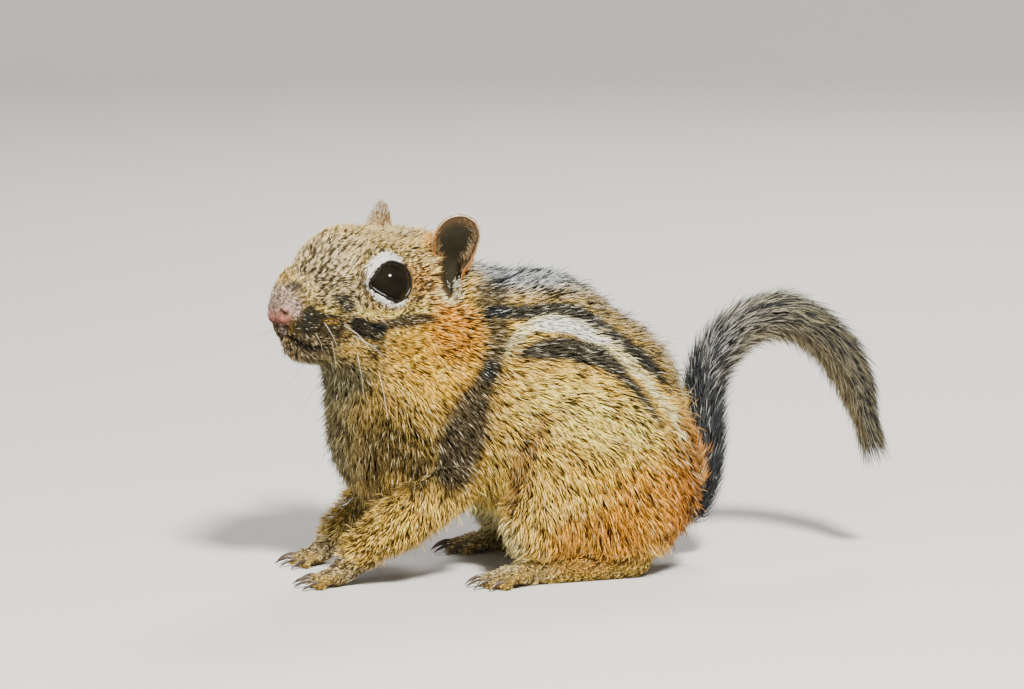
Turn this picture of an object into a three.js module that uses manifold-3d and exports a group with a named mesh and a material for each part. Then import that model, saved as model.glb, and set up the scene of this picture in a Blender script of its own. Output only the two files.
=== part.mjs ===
// An eastern chipmunk at life size, crouched on its haunches with its head turned to its left.
// Millimetres, +Z up. The animal faces -X, so its left side is towards -Y, and the floor is z = 0.
// The flesh is one smooth field of blended masses, made into a mesh and parted with thin cuts.
import * as THREE from "three";
import { mergeVertices } from "three/addons/utils/BufferGeometryUtils.js";
import Module from "manifold-3d";

const wasm = await Module();
wasm.setup();

// Driving dimensions
const gap = 0.3;
const coarse = 0.08;
const headPose = { between: [-40.7, -5, 60.2], yaw: 22, noseUp: 5, leanRight: 3.5 };
const cells = { head: 2.2, body: 3.7 };
const blends = { trunk: 7, head: 3.5, neck: 6, limb: 5.5 };

// Body masses: centre, half sizes and the pitch of the long axis in degrees
const trunkMasses = {
  shoulders: { at: [-19, 0, 38], half: [20, 17, 21] },
  back: { at: [-5, 0, 36], half: [19, 18.5, 24.5] },
  rump: { at: [4, 0, 27], half: [22, 19, 24] },
  chest: { at: [-30.5, -1, 29], half: [14, 13.5, 18] },
};
const pairedMasses = {
  thigh: { at: [8, 13.5, 20.5], half: [18.5, 9.5, 18] },
  knee: { at: [-7, 16, 13], half: [8, 6, 9], pitch: 20 },
  shoulderBlade: { at: [-29, 10, 30], half: [9, 7, 14], pitch: -12 },
};

// Head masses in the head's own frame: forward, to the left, up, from midway between the eyes
const headMasses = {
  cranium: { at: [-7, 0, 1], half: [15.5, 12, 9.8] },
  forehead: { at: [4.5, 0, 0.6], half: [10.5, 9.4, 9.2], pitch: -20 },
  muzzle: { at: [10.6, 0, -5.6], half: [9.8, 6, 6.4], pitch: -10 },
  chin: { at: [10, 0, -12.4], half: [6.5, 4.2, 3.6], pitch: 8 },
  jaw: { at: [0, 0, -11.2], half: [11, 8.5, 6.3] },
};
const pairedHeadMasses = {
  cheek: { at: [-4, 6.5, -6.5], half: [10.5, 7, 7.5] },
  lip: { at: [13.2, 3, -9.4], half: [5.2, 3.4, 3.1], pitch: -10 },
  brow: { at: [0.5, 7.6, 4.6], half: [7, 3.6, 3] },
};
const collar = {
  nape: { inHead: [-10, 0, -3], inBody: [-18, 0, 43], radii: [12, 16] },
  throat: { inHead: [0, 0, -9], inBody: [-34, -1, 30], radii: [8.5, 13] },
};

const eye = { at: [0.9, 9.35, 0], radius: 4.7, facing: [0.3, 0.93, 0.2] };
const lid = { off: 2.3, radius: 4.3, thick: 0.75 };
const ear = {
  at: [-13, 12.4, 5.4],
  facing: [0.55, 0.83, 0.05],
  half: [5.3, 4.2, 8.6],
  wall: 0.9,
  hollowShift: 2.2,
};
const nose = { at: [18.9, 0, -5], half: [2.5, 3.1, 2.6] };
const nostril = { from: [22.2, 1.1, -5.2], to: [19.4, 2.6, -4.5], radius: 0.6 };
const mouth = { front: [18.6, 0, -11.9], slope: 7, back: 5.5 };

const foreleg = {
  elbow: [-26, 13, 20],
  middle: [-35, 13, 13],
  wrist: [-43.5, 11.4, 7],
  radii: [5.2, 4.4, 2.9],
};
const hand = {
  heel: [-42.6, 11.5, 5.4],
  ball: [-47.6, 11, 2.2],
  radii: [2.7, 2.5],
  toeLengths: [3.9, 4.9, 4.9, 4],
  toeRadius: 1.1,
  spread: 15,
  setOff: 1.45,
};
const foot = {
  heel: [12, 14.5, 3.6],
  ball: [-11, 17.2, 2.2],
  radii: [3.9, 3],
  toeLengths: [5, 7.4, 8, 7.6, 5.4],
  toeRadius: 1.25,
  spread: 8,
  setOff: 1.35,
};
const claw = { length: 3, radius: 0.6, clear: 0.35 };
const tail = {
  line: [
    [14, 0, 13],
    [22.5, 0.5, 9],
    [28.2, 1, 11],
    [30.6, 1.5, 21],
    [30.6, 2, 31],
    [32, 2, 40],
    [38, 1.5, 47.3],
    [47.5, 0.5, 49.5],
    [56.5, -1, 43.8],
    [61.4, -2.5, 35],
    [63.2, -3.5, 28.5],
  ],
  halfWidths: [3.6, 4.2, 4.7, 5, 5.2, 5.4, 5.6, 5.2, 4.6, 3.8, 2.2],
  core: 0.5,
  lengths: 4,
};
const locks = {
  from: 0.18,
  to: 0.86,
  rings: 12,
  around: 5,
  reach: 0.165,
  behind: 0.012,
  out: [0.22, 0.62, 0.86, 1],
  wide: [1.2, 2.7, 2, 0.3],
  deep: [0.7, 0.85, 0.65, 0.25],
  vary: 0.12,
};

// Where the flesh is parted: planes as a point and a normal towards the part named first
const headFromNeck = { at: [-20, 0, 6], normal: [0.8, 0, 0.6] };
const neckFromTrunk = { at: [-12, 0, 60], normal: [-0.688, 0, 0.726] };
const chestFromRump = { at: [-8, 0, 0], normal: [-1, 0, 0] };
const thighRegion = { at: [5, 16.8, 17], half: [24, 10.3, 22.4] };
const armRegion = { at: [-29, 14, 27], half: [9.5, 8.5, 15] };

const colours = {
  coat: 0xb08a54,
  belly: 0xd9cdb4,
  skin: 0x9c7a68,
  horn: 0x3a2c22,
  eye: 0x0d0907,
  dark: 0x3b3a38,
};

// Vectors and frames
const vec = (p) => new THREE.Vector3(...p);
const rad = THREE.MathUtils.degToRad;
const headFrame = new THREE.Matrix4()
  .makeRotationZ(rad(180 + headPose.yaw))
  .multiply(new THREE.Matrix4().makeRotationY(-rad(headPose.noseUp)))
  .multiply(new THREE.Matrix4().makeRotationX(rad(headPose.leanRight)))
  .setPosition(...headPose.between);
const toHead = headFrame.clone().invert().elements;
const inHead = (n, x, y, z) => toHead[n] * x + toHead[4 + n] * y + toHead[8 + n] * z + toHead[12 + n];
const fromHead = (p) => vec(p).applyMatrix4(headFrame).toArray();
const sides = { left: 1, right: -1 };
const onBody = ([x, y, z], side) => [x, -side * y, z];
const onHead = ([x, y, z], side) => [x, side * y, z];

// Signed distances, negative inside
function ellipsoid({ at, half, pitch = 0 }) {
  const cos = Math.cos(rad(pitch));
  const sin = Math.sin(rad(pitch));
  return (x, y, z) => {
    const dx = x - at[0];
    const dz = z - at[2];
    const px = (cos * dx - sin * dz) / half[0];
    const py = (y - at[1]) / half[1];
    const pz = (cos * dz + sin * dx) / half[2];
    const near = Math.sqrt(px * px + py * py + pz * pz);
    const slope = Math.sqrt((px / half[0]) ** 2 + (py / half[1]) ** 2 + (pz / half[2]) ** 2);
    return slope < 1e-9 ? -Math.min(...half) : (near * (near - 1)) / slope;
  };
}

function roundCone(from, to, radii) {
  const run = vec(to).sub(vec(from));
  const runSq = run.lengthSq();
  return (x, y, z) => {
    const px = x - from[0];
    const py = y - from[1];
    const pz = z - from[2];
    const t = THREE.MathUtils.clamp((px * run.x + py * run.y + pz * run.z) / runSq, 0, 1);
    const radius = radii[0] + t * (radii[1] - radii[0]);
    return Math.hypot(px - t * run.x, py - t * run.y, pz - t * run.z) - radius;
  };
}

function smoothMin(a, b, k) {
  const h = Math.max(k - Math.abs(a - b), 0) / k;
  return Math.min(a, b) - h * h * k * 0.25;
}

const blended = (fields, k) => (x, y, z) => fields.reduce((d, f) => smoothMin(d, f(x, y, z), k), 1e3);
const pairOf = (mass, place) => Object.values(sides).map((s) => ellipsoid({ ...mass, at: place(mass.at, s) }));
const bothSides = (masses, place) => Object.values(masses).flatMap((mass) => pairOf(mass, place));

const trunk = blended(Object.values(trunkMasses).map(ellipsoid), blends.trunk);
const limbs = blended(bothSides(pairedMasses, onBody), blends.limb);
const skull = blended(
  [...Object.values(headMasses).map(ellipsoid), ...bothSides(pairedHeadMasses, onHead)],
  blends.head,
);
const necks = blended(
  Object.values(collar).map((c) => roundCone(fromHead(c.inHead), c.inBody, c.radii)),
  blends.neck,
);

function flesh(x, y, z) {
  const [forward, left, up] = [0, 1, 2].map((n) => inHead(n, x, y, z));
  const body = smoothMin(trunk(x, y, z), limbs(x, y, z), blends.limb);
  return smoothMin(smoothMin(body, necks(x, y, z), blends.neck), skull(forward, left, up), blends.head);
}

// Closed meshes and solids
function solid(geometry) {
  const plain = geometry.index ? geometry.toNonIndexed() : geometry;
  const bare = new THREE.BufferGeometry().setAttribute("position", plain.getAttribute("position"));
  const merged = mergeVertices(bare, 1e-4);
  return new wasm.Manifold(
    new wasm.Mesh({
      numProp: 3,
      vertProperties: new Float32Array(merged.attributes.position.array),
      triVerts: new Uint32Array(merged.index.array),
    }),
  );
}

function meshOf(points, faces) {
  return new THREE.BufferGeometry()
    .setAttribute("position", new THREE.BufferAttribute(new Float32Array(points), 3))
    .setIndex(new THREE.BufferAttribute(new Uint32Array(faces), 1));
}

function geometryOf(manifold) {
  const { vertProperties, triVerts, numProp } = manifold.getMesh();
  const points = [];
  for (let i = 0; i < vertProperties.length; i += numProp) points.push(...vertProperties.subarray(i, i + 3));
  return meshOf(points, triVerts);
}

const largest = (whole) => whole.decompose().reduce((best, s) => (s.volume() > best.volume() ? s : best));
const joined = (solids) => solids.reduce((whole, s) => whole.add(s));

// Moves a point along the field's slope onto its zero surface
function settled(field, p, most) {
  const e = 0.05;
  const q = [...p];
  for (let n = 0; n < 2; n++) {
    const d = field(...q);
    const slope = [0, 1, 2].map((a) => (field(...q.map((v, b) => (a === b ? v + e : v))) - d) / e);
    const square = slope.reduce((s, v) => s + v * v, 1e-9);
    slope.forEach((v, a) => {
      q[a] -= THREE.MathUtils.clamp((d * v) / square, -most, most);
    });
  }
  return q;
}

// The field's zero surface inside a box: one point in each grid cell that it crosses, and one quad round
// each crossed edge
function surfaceOf(field, low, high, cell) {
  const count = low.map((l, a) => Math.ceil((high[a] - l) / cell) + 1);
  const steps = [1, count[0], count[0] * count[1]];
  const border = (n) => n.some((v, a) => v === 0 || v === count[a] - 1);
  const place = (n) => n.map((v, a) => low[a] + v * cell);
  const value = new Float32Array(count[0] * count[1] * count[2]);
  const nodes = [];
  for (let k = 0; k < count[2]; k++) {
    for (let j = 0; j < count[1]; j++) {
      for (let i = 0; i < count[0]; i++) nodes.push([i, j, k]);
    }
  }
  nodes.forEach((n, at) => {
    value[at] = border(n) ? cell : field(...place(n));
  });

  const eight = [0, 1, 2, 3, 4, 5, 6, 7];
  const corners = eight.map((n) => [n & 1, (n >> 1) & 1, (n >> 2) & 1]);
  const edges = eight.flatMap((n) => [1, 2, 4].filter((bit) => !(n & bit)).map((bit) => [n, n | bit]));
  const inCell = (v, start) => THREE.MathUtils.clamp(v, start + 0.06 * cell, start + 0.94 * cell);
  const points = [];
  const pointOf = new Int32Array(value.length).fill(-1);
  nodes.forEach((n, at) => {
    if (n.some((v, a) => v === count[a] - 1)) return;
    const v = corners.map((c) => value[at + c[0] * steps[0] + c[1] * steps[1] + c[2] * steps[2]]);
    const crossed = edges.filter(([a, b]) => v[a] < 0 !== v[b] < 0);
    if (!crossed.length) return;
    const sum = [0, 0, 0];
    crossed.forEach(([a, b]) => {
      const t = v[a] / (v[a] - v[b]);
      sum.forEach((_, x) => {
        sum[x] += corners[a][x] + t * (corners[b][x] - corners[a][x]);
      });
    });
    const origin = place(n);
    const p = origin.map((o, x) => o + (cell * sum[x]) / crossed.length);
    const clipped = n.some((w, a) => w === 0 || w === count[a] - 2);
    const q = clipped ? p : settled(field, p, 0.3 * cell);
    pointOf[at] = points.length / 3;
    points.push(...q.map((v, x) => inCell(v, origin[x])));
  });

  const faces = [];
  const apart = (a, b) => Math.hypot(...[0, 1, 2].map((x) => points[3 * a + x] - points[3 * b + x]));
  nodes.forEach((n, at) => {
    steps.forEach((step, a) => {
      if (n[a] === count[a] - 1 || value[at] < 0 === value[at + step] < 0) return;
      const [u, w] = [steps[(a + 1) % 3], steps[(a + 2) % 3]];
      const ring = [at - u - w, at - w, at, at - u].map((c) => pointOf[c]);
      if (value[at] >= 0) ring.reverse();
      const [p, q, r, s] = ring;
      if (apart(p, r) < apart(q, s)) faces.push(p, q, r, p, r, s);
      else faces.push(p, q, s, q, r, s);
    });
  });
  return solid(meshOf(points, faces));
}

const smoothLine = (line) => new THREE.CatmullRomCurve3(line.map(vec), false, "centripetal");

// The size at a share t of the way along evenly spaced sizes
function sizeAt(sizes, t) {
  const at = Math.min(t, 1) * (sizes.length - 1);
  const n = Math.min(Math.floor(at), sizes.length - 2);
  return THREE.MathUtils.lerp(sizes[n], sizes[n + 1], at - n);
}

// A closed tapering tube along a smooth line. wide lies across the line and deep along up. Its ends are
// domed, or flat where blunt is 0.
function tube({ line, wide, deep = wide, up = [0, 0, 1], round = 8, rings = 8, grow = 0, blunt = 1 }) {
  const curve = smoothLine(line);
  const ringAt = (t, slide, share) => {
    const along = curve.getTangent(t).normalize();
    const across = new THREE.Vector3().crossVectors(along, vec(up)).normalize();
    const rise = new THREE.Vector3().crossVectors(across, along);
    const [w, d] = [wide, deep].map((sizes) => sizeAt(sizes, t) + grow);
    const past = blunt ? slide * Math.min(w, d) : (2 * t - 1) * grow;
    const centre = curve.getPoint(t).addScaledVector(along, past);
    return { centre, across: across.multiplyScalar(w * share), rise: rise.multiplyScalar(d * share) };
  };
  const stations = [];
  for (let n = 0; n <= rings; n++) stations.push(ringAt(n / rings, 0, 1));
  if (blunt) {
    stations.unshift(ringAt(0, -0.7 * blunt, 0.7));
    stations.push(ringAt(1, 0.7 * blunt, 0.7));
  }
  const points = [];
  stations.forEach(({ centre, across, rise }) => {
    for (let m = 0; m < round; m++) {
      const turn = (2 * Math.PI * m) / round;
      const p = centre.clone().addScaledVector(across, Math.cos(turn)).addScaledVector(rise, Math.sin(turn));
      points.push(...p.toArray());
    }
  });
  const poles = [ringAt(0, -blunt, 1), ringAt(1, blunt, 1)].map((r) => r.centre.toArray());
  const first = stations.length * round;
  points.push(...poles[0], ...poles[1]);
  const faces = [];
  for (let m = 0; m < round; m++) {
    const next = (m + 1) % round;
    const last = (stations.length - 1) * round;
    faces.push(first, m, next, first + 1, last + next, last + m);
    for (let n = 0; n < stations.length - 1; n++) {
      const [a, b] = [n * round, (n + 1) * round];
      faces.push(a + m, b + next, a + next, a + m, b + m, b + next);
    }
  }
  return solid(meshOf(points, faces));
}

// A smooth egg, and a box that covers all that lies on one side of a plane
function egg({ at, half, matrix = new THREE.Matrix4(), grow = 0, detail = 12 }) {
  const ball = new THREE.SphereGeometry(1, 2 * detail, detail);
  ball.scale(...half.map((h) => h + grow)).applyMatrix4(matrix);
  return solid(ball.translate(...at));
}

const reach = 300;
function beyond({ at, normal }, frame = new THREE.Matrix4(), inset = gap / 2) {
  const towards = vec(normal).normalize().transformDirection(frame);
  const box = new THREE.BoxGeometry(reach, reach, reach).translate(0, 0, reach / 2 + inset);
  box.applyQuaternion(new THREE.Quaternion().setFromUnitVectors(new THREE.Vector3(0, 0, 1), towards));
  return solid(box.translate(...vec(at).applyMatrix4(frame).toArray()));
}
const facing = (plane) => ({ at: plane.at, normal: plane.normal.map((n) => -n) });
const overFloor = (s) => s.intersect(beyond({ at: [0, 0, 0], normal: [0, 0, 1] }, undefined, 0));

// A frame whose Z points along facing and whose Y is as near upright as can be, carried into the head's frame
function lookingAlong(at, direction, side, frame = headFrame) {
  const z = vec(onHead(direction, side)).normalize().transformDirection(frame);
  const upright = new THREE.Vector3(0, 0, 1).transformDirection(frame);
  const x = new THREE.Vector3().crossVectors(upright, z).normalize();
  const y = new THREE.Vector3().crossVectors(z, x);
  return new THREE.Matrix4().makeBasis(x, y, z).setPosition(...vec(onHead(at, side)).applyMatrix4(frame));
}

const nodes = {};
const tint = {};
function keep(name, made, colour) {
  nodes[name] = largest(made).asOriginal().simplify(coarse);
  tint[name] = colour;
}

// The whole flesh: a finer mesh for the head, a coarser one for the rest, and both a little larger to cut
// what grows from them
const headBox = [
  [-70, -30, 33],
  [-12, 20, 80],
];
const bodyBox = [
  [-60, -32, -8],
  [34, 32, 78],
];
const headMesh = surfaceOf(flesh, ...headBox, cells.head);
const bodyMesh = overFloor(surfaceOf(flesh, ...bodyBox, cells.body));
const grown = (x, y, z) => flesh(x, y, z) - gap;
const headGrown = surfaceOf(grown, ...headBox, cells.head);
const bodyGrown = surfaceOf(grown, ...bodyBox, cells.body);

function makeHead() {
  const lids = Object.values(sides).map((side) => {
    const ring = new THREE.TorusGeometry(lid.radius, lid.thick, 6, 20).translate(0, 0, lid.off);
    return solid(ring.applyMatrix4(lookingAlong(eye.at, eye.facing, side)));
  });
  const balls = (grow) =>
    Object.values(sides).map((side) =>
      egg({ at: fromHead(onHead(eye.at, side)), half: [1, 1, 1].map(() => eye.radius), grow, detail: 8 }),
    );
  const noseFrame = new THREE.Matrix4().extractRotation(headFrame);
  const { at, half } = nose;
  const noseAt = (grow) => egg({ at: fromHead(at), half, matrix: noseFrame, grow, detail: 6 });
  let head = joined([headMesh.intersect(beyond(headFromNeck, headFrame)), ...lids]);
  head = head.subtract(joined(balls(gap))).subtract(noseAt(gap));
  const slope = rad(mouth.slope);
  const above = { at: mouth.front, normal: [-Math.sin(slope), 0, Math.cos(slope)] };
  const behind = { at: [mouth.back, 0, 0], normal: [-1, 0, 0] };
  const jaw = head.intersect(beyond(facing(above), headFrame)).intersect(beyond(facing(behind), headFrame));
  const cuts = [above, behind].map((plane) => beyond(facing(plane), headFrame, -gap / 2));
  keep("head", head.subtract(cuts[0].intersect(cuts[1])), colours.coat);
  keep("lower_jaw", jaw, colours.belly);
  Object.keys(sides).forEach((name, n) => keep("eye_" + name, balls(0)[n], colours.eye));
  const holes = Object.values(sides).map((side) =>
    tube({
      line: [nostril.from, nostril.to].map((p) => fromHead(onHead(p, side))),
      wide: [nostril.radius, nostril.radius],
      round: 6,
      rings: 2,
    }),
  );
  keep("nose", noseAt(0).subtract(joined(holes)), colours.skin);
}

function makeEars() {
  Object.entries(sides).forEach(([name, side]) => {
    const frame = lookingAlong(ear.at, ear.facing, side);
    const size = [ear.half[0], ear.half[2], ear.half[1]];
    const bowl = new THREE.SphereGeometry(1, 12, 9).scale(...size).applyMatrix4(frame);
    const hollow = new THREE.SphereGeometry(1, 12, 9)
      .scale(...size.map((s) => s - ear.wall))
      .translate(0, 0, ear.hollowShift)
      .applyMatrix4(frame);
    keep("ear_" + name, solid(bowl).subtract(solid(hollow)).subtract(headGrown), colours.skin);
  });
}

function makeTrunk() {
  const regions = { thigh: thighRegion, upper_arm: armRegion };
  let rest = bodyMesh;
  Object.entries(regions).forEach(([part, region]) => {
    Object.entries(sides).forEach(([name, side]) => {
      const at = onBody(region.at, side);
      const [inner, outer] = [-1, 1].map((way) => egg({ ...region, at, grow: (way * gap) / 2, detail: 9 }));
      keep(part + "_" + name, bodyMesh.intersect(inner), colours.coat);
      rest = rest.subtract(outer);
    });
  });
  const below = rest.intersect(beyond(facing(neckFromTrunk)));
  keep("chest", below.intersect(beyond(chestFromRump)), colours.coat);
  keep("rump", below.intersect(beyond(facing(chestFromRump))), colours.coat);
  const behindHead = beyond(facing(headFromNeck), headFrame);
  keep("neck", rest.intersect(beyond(neckFromTrunk)).intersect(behindHead), colours.coat);
}

// A paw: the sole from heel to ball, then toes that fan out, each with a claw that meets its tip
function makePaw(node, paw, side, cutters) {
  const heel = vec(onBody(paw.heel, side));
  const ball = vec(onBody(paw.ball, side));
  const forward = ball.clone().sub(heel).setZ(0).normalize();
  const across = new THREE.Vector3(0, 0, 1).cross(forward);
  const soleLine = [heel, heel.clone().lerp(ball, 0.5), ball].map((p) => p.toArray());
  const toes = paw.toeLengths.map((length, n) => {
    const off = n - (paw.toeLengths.length - 1) / 2;
    const aim = forward.clone().applyAxisAngle(new THREE.Vector3(0, 0, 1), rad(off * paw.spread));
    const root = ball.clone().addScaledVector(across, off * paw.setOff);
    const bend = root.clone().addScaledVector(aim, 0.55 * length).setZ(1.75 * paw.toeRadius);
    const tip = root.clone().addScaledVector(aim, length).setZ(0.8 * paw.toeRadius);
    const line = [root, bend, tip].map((p) => p.toArray());
    const wide = [paw.toeRadius, 0.9 * paw.toeRadius];
    return { aim, tip, made: (grow) => tube({ line, wide, rings: 2, round: 6, grow }) };
  });
  const sole = tube({ line: soleLine, wide: paw.radii, rings: 3 });
  let whole = overFloor(joined([sole, ...toes.map((toe) => toe.made(0))]));
  cutters.forEach((c) => {
    whole = whole.subtract(c);
  });
  keep(node, whole, colours.coat);
  toes.forEach(({ aim, tip, made }, n) => {
    const start = tip.clone().setZ(1.25 * paw.toeRadius);
    const end = start.clone().addScaledVector(aim, paw.toeRadius + claw.length).setZ(claw.clear);
    const middle = start.clone().lerp(end, 0.6).setZ(start.z + 0.1);
    const horn = tube({
      line: [start, middle, end].map((p) => p.toArray()),
      wide: [claw.radius, 0.75 * claw.radius, 0.22],
      round: 5,
      rings: 2,
    });
    keep(node + "_claw_" + (n + 1), horn.subtract(made(gap)), colours.horn);
  });
}

function makeLegs() {
  Object.entries(sides).forEach(([name, side]) => {
    const line = [foreleg.elbow, foreleg.middle, foreleg.wrist].map((p) => onBody(p, side));
    const forearm = (grow) => tube({ line, wide: foreleg.radii, rings: 7, round: 10, grow });
    keep("forearm_" + name, forearm(0).subtract(bodyGrown), colours.coat);
    makePaw("hand_" + name, hand, side, [forearm(gap), bodyGrown]);
    makePaw("foot_" + name, foot, side, [bodyGrown]);
  });
}

const tailCurve = smoothLine(tail.line);

// A point beside the tail, at a turn round it and at a share of the coat's radius. It runs on past the end.
function besideTail(t, turn, share) {
  const along = tailCurve.getTangent(Math.min(t, 1));
  const across = new THREE.Vector3().crossVectors(along, new THREE.Vector3(0, 1, 0)).normalize();
  const rise = new THREE.Vector3().crossVectors(across, along);
  const out = across.multiplyScalar(Math.cos(turn)).addScaledVector(rise, Math.sin(turn));
  const at = tailCurve
    .getPoint(Math.min(t, 1))
    .addScaledVector(along, Math.max(t - 1, 0) * tailCurve.getLength())
    .addScaledVector(out, share * sizeAt(tail.halfWidths, t));
  return { at: at.toArray(), out: out.toArray() };
}

function seeded(seed) {
  let state = seed;
  return () => {
    state = (state * 16807) % 2147483647;
    return state / 2147483647;
  };
}

// Flat tapered locks of bristly hair, in rings that overlap towards the tip, each rooted in the core
function tailLocks() {
  const random = seeded(24);
  const vary = () => 1 + locks.vary * (2 * random() - 1);
  const last = locks.out.length - 1;
  return Array.from({ length: locks.rings }, (_, ring) => {
    const start = THREE.MathUtils.lerp(locks.from, locks.to, ring / (locks.rings - 1));
    const hair = Array.from({ length: locks.around }, (__, n) => {
      const turn = (2 * Math.PI * (n + 0.5 * (ring % 2) + 0.25 * random())) / locks.around;
      const reach = locks.reach * vary();
      const out = locks.out.map((share, k) => (k < last ? share : share * vary()));
      const points = out.map((share, k) => besideTail(start + (reach * k) / last, turn, share));
      const line = points.map((p) => p.at);
      const { wide, deep } = locks;
      return (grow) => tube({ line, wide, deep, up: points[1].out, round: 4, rings: last, blunt: 0, grow });
    });
    return { start, hair };
  });
}

// The tail's lengths: each has its part of the core with its own rings of locks, and is cut clear of the
// locks that reach over it from the length before
function makeTail() {
  const wide = tail.halfWidths.map((w) => w * tail.core);
  const core = tube({ line: tail.line, wide, up: [0, 1, 0], rings: 22 });
  const rings = tailLocks();
  const perLength = locks.rings / tail.lengths;
  const planeAt = (t) => ({ at: tailCurve.getPoint(t).toArray(), normal: tailCurve.getTangent(t).toArray() });
  const nearby = (start, end) => {
    const last = tail.line.length - 1;
    const line = tail.line.filter((_, i) => i / last > start - 0.15 && i / last < end + 0.15);
    return tube({ line, wide: [7, 7], up: [0, 1, 0], round: 10, rings: 12 });
  };
  for (let n = 0; n < tail.lengths; n++) {
    const first = n * perLength;
    const own = rings.slice(first, first + perLength);
    const start = own[0].start - locks.behind;
    const end = n < tail.lengths - 1 ? rings[first + perLength].start - locks.behind : 1;
    let length = core.intersect(nearby(start, end));
    if (n > 0) length = length.intersect(beyond(planeAt(start)));
    if (n < tail.lengths - 1) length = length.intersect(beyond(facing(planeAt(end))));
    length = joined([length, ...own.flatMap((ring) => ring.hair.map((lock) => lock(0)))]);
    rings.slice(Math.max(0, first - perLength), first).forEach((ring) => {
      ring.hair.forEach((lock) => {
        length = length.subtract(lock(gap));
      });
    });
    keep("tail_" + (n + 1), length.subtract(bodyGrown), colours.dark);
  }
}

makeHead();
makeEars();
makeTrunk();
makeLegs();
makeTail();

const chipmunk = new THREE.Group();
Object.entries(nodes).forEach(([name, made]) => {
  const material = new THREE.MeshStandardMaterial({ color: tint[name], roughness: 0.8, metalness: 0 });
  const mesh = new THREE.Mesh(geometryOf(made), material);
  mesh.name = name;
  chipmunk.add(mesh);
});

// The origin is on the floor, under the middle of the whole
const around = new THREE.Box3().setFromObject(chipmunk);
const middle = around.getCenter(new THREE.Vector3());
chipmunk.position.set(-middle.x, -middle.y, -around.min.z);

export default chipmunk;
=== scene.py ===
# An eastern chipmunk at life size: one skin with a coat of short tufts, eyes, nose, ears, claws and whiskers.
# Shapes are worked out in millimetres in the maker's frame (facing -X, left side towards -Y, floor at z = 0)
# and moved to the scene's metres at the end.
import math
import bmesh
import bpy
import numpy as np
from mathutils import Matrix, Vector
from types import SimpleNamespace


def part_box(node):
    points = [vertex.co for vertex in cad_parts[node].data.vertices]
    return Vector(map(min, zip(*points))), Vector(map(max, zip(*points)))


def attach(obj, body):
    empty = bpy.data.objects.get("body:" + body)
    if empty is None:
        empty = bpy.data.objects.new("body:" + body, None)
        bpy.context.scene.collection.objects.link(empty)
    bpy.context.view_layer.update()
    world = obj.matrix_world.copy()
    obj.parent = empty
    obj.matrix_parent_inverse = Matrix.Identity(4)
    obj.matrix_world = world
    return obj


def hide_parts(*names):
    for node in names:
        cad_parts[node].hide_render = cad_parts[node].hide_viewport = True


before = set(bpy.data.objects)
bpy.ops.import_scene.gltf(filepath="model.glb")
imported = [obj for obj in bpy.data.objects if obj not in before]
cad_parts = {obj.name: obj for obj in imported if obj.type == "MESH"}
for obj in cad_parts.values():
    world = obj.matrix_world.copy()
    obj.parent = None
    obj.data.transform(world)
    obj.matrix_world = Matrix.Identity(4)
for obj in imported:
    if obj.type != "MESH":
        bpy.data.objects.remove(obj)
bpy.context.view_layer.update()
rng = np.random.default_rng(11)


# Turns and places

def turn(axis, degrees):
    c = math.cos(math.radians(degrees))
    s = math.sin(math.radians(degrees))
    rows = {"x": [[1, 0, 0], [0, c, -s], [0, s, c]], "y": [[c, 0, s], [0, 1, 0], [-s, 0, c]],
            "z": [[c, -s, 0], [s, c, 0], [0, 0, 1]]}
    return np.array(rows[axis], float)


headPose = {"between": (-40.7, -5, 60.2), "yaw": 22, "noseUp": 5, "leanRight": 3.5}
headTurn = turn("z", 180 + headPose["yaw"]) @ turn("y", -headPose["noseUp"]) @ turn("x", headPose["leanRight"])
headAt = np.array(headPose["between"], float)


def toHead(points):
    return (points - headAt) @ headTurn


def fromHead(points):
    return np.asarray(points, float) @ headTurn.T + headAt


def unit(vectors):
    vectors = np.asarray(vectors, float)
    return vectors / np.maximum(np.linalg.norm(vectors, axis=-1, keepdims=True), 1e-9)


def folded(points):
    sides = points.copy()
    sides[:, 1] = np.abs(sides[:, 1])
    return sides


def smooth(low, high, x):
    t = np.clip((x - low) / (high - low), 0, 1)
    return t * t * (3 - 2 * t)


# Fields: distances in millimetres, negative inside

def eggField(points, at, half, pitch=0):
    c = math.cos(math.radians(pitch))
    s = math.sin(math.radians(pitch))
    d = points - np.asarray(at, float)
    x = (c * d[:, 0] - s * d[:, 2]) / half[0]
    y = d[:, 1] / half[1]
    z = (c * d[:, 2] + s * d[:, 0]) / half[2]
    near = np.sqrt(x * x + y * y + z * z)
    slope = np.sqrt((x / half[0]) ** 2 + (y / half[1]) ** 2 + (z / half[2]) ** 2)
    return near * (near - 1) / np.maximum(slope, 1e-9)


def coneField(points, start, end, radii):
    start = np.asarray(start, float)
    run = np.asarray(end, float) - start
    off = points - start
    t = np.clip(off @ run / (run @ run), 0, 1)
    return np.linalg.norm(off - t[:, None] * run, axis=1) - radii[0] - t * (radii[1] - radii[0])


def melt(a, b, reach):
    h = np.maximum(reach - np.abs(a - b), 0) / reach
    return np.minimum(a, b) - h * h * reach / 4


def carve(a, b, reach):
    return -melt(-a, -b, reach)


def meltAll(fields, reach):
    whole = fields[0]
    for field in fields[1:]:
        whole = melt(whole, field, reach)
    return whole


def lineField(points, line, widths=None):
    best = np.full(len(points), 1e3)
    line = np.asarray(line, float)
    widths = np.zeros(len(line)) if widths is None else np.broadcast_to(widths, len(line))
    for n in range(len(line) - 1):
        best = np.minimum(best, coneField(points, line[n], line[n + 1], (widths[n], widths[n + 1])))
    return best


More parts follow.
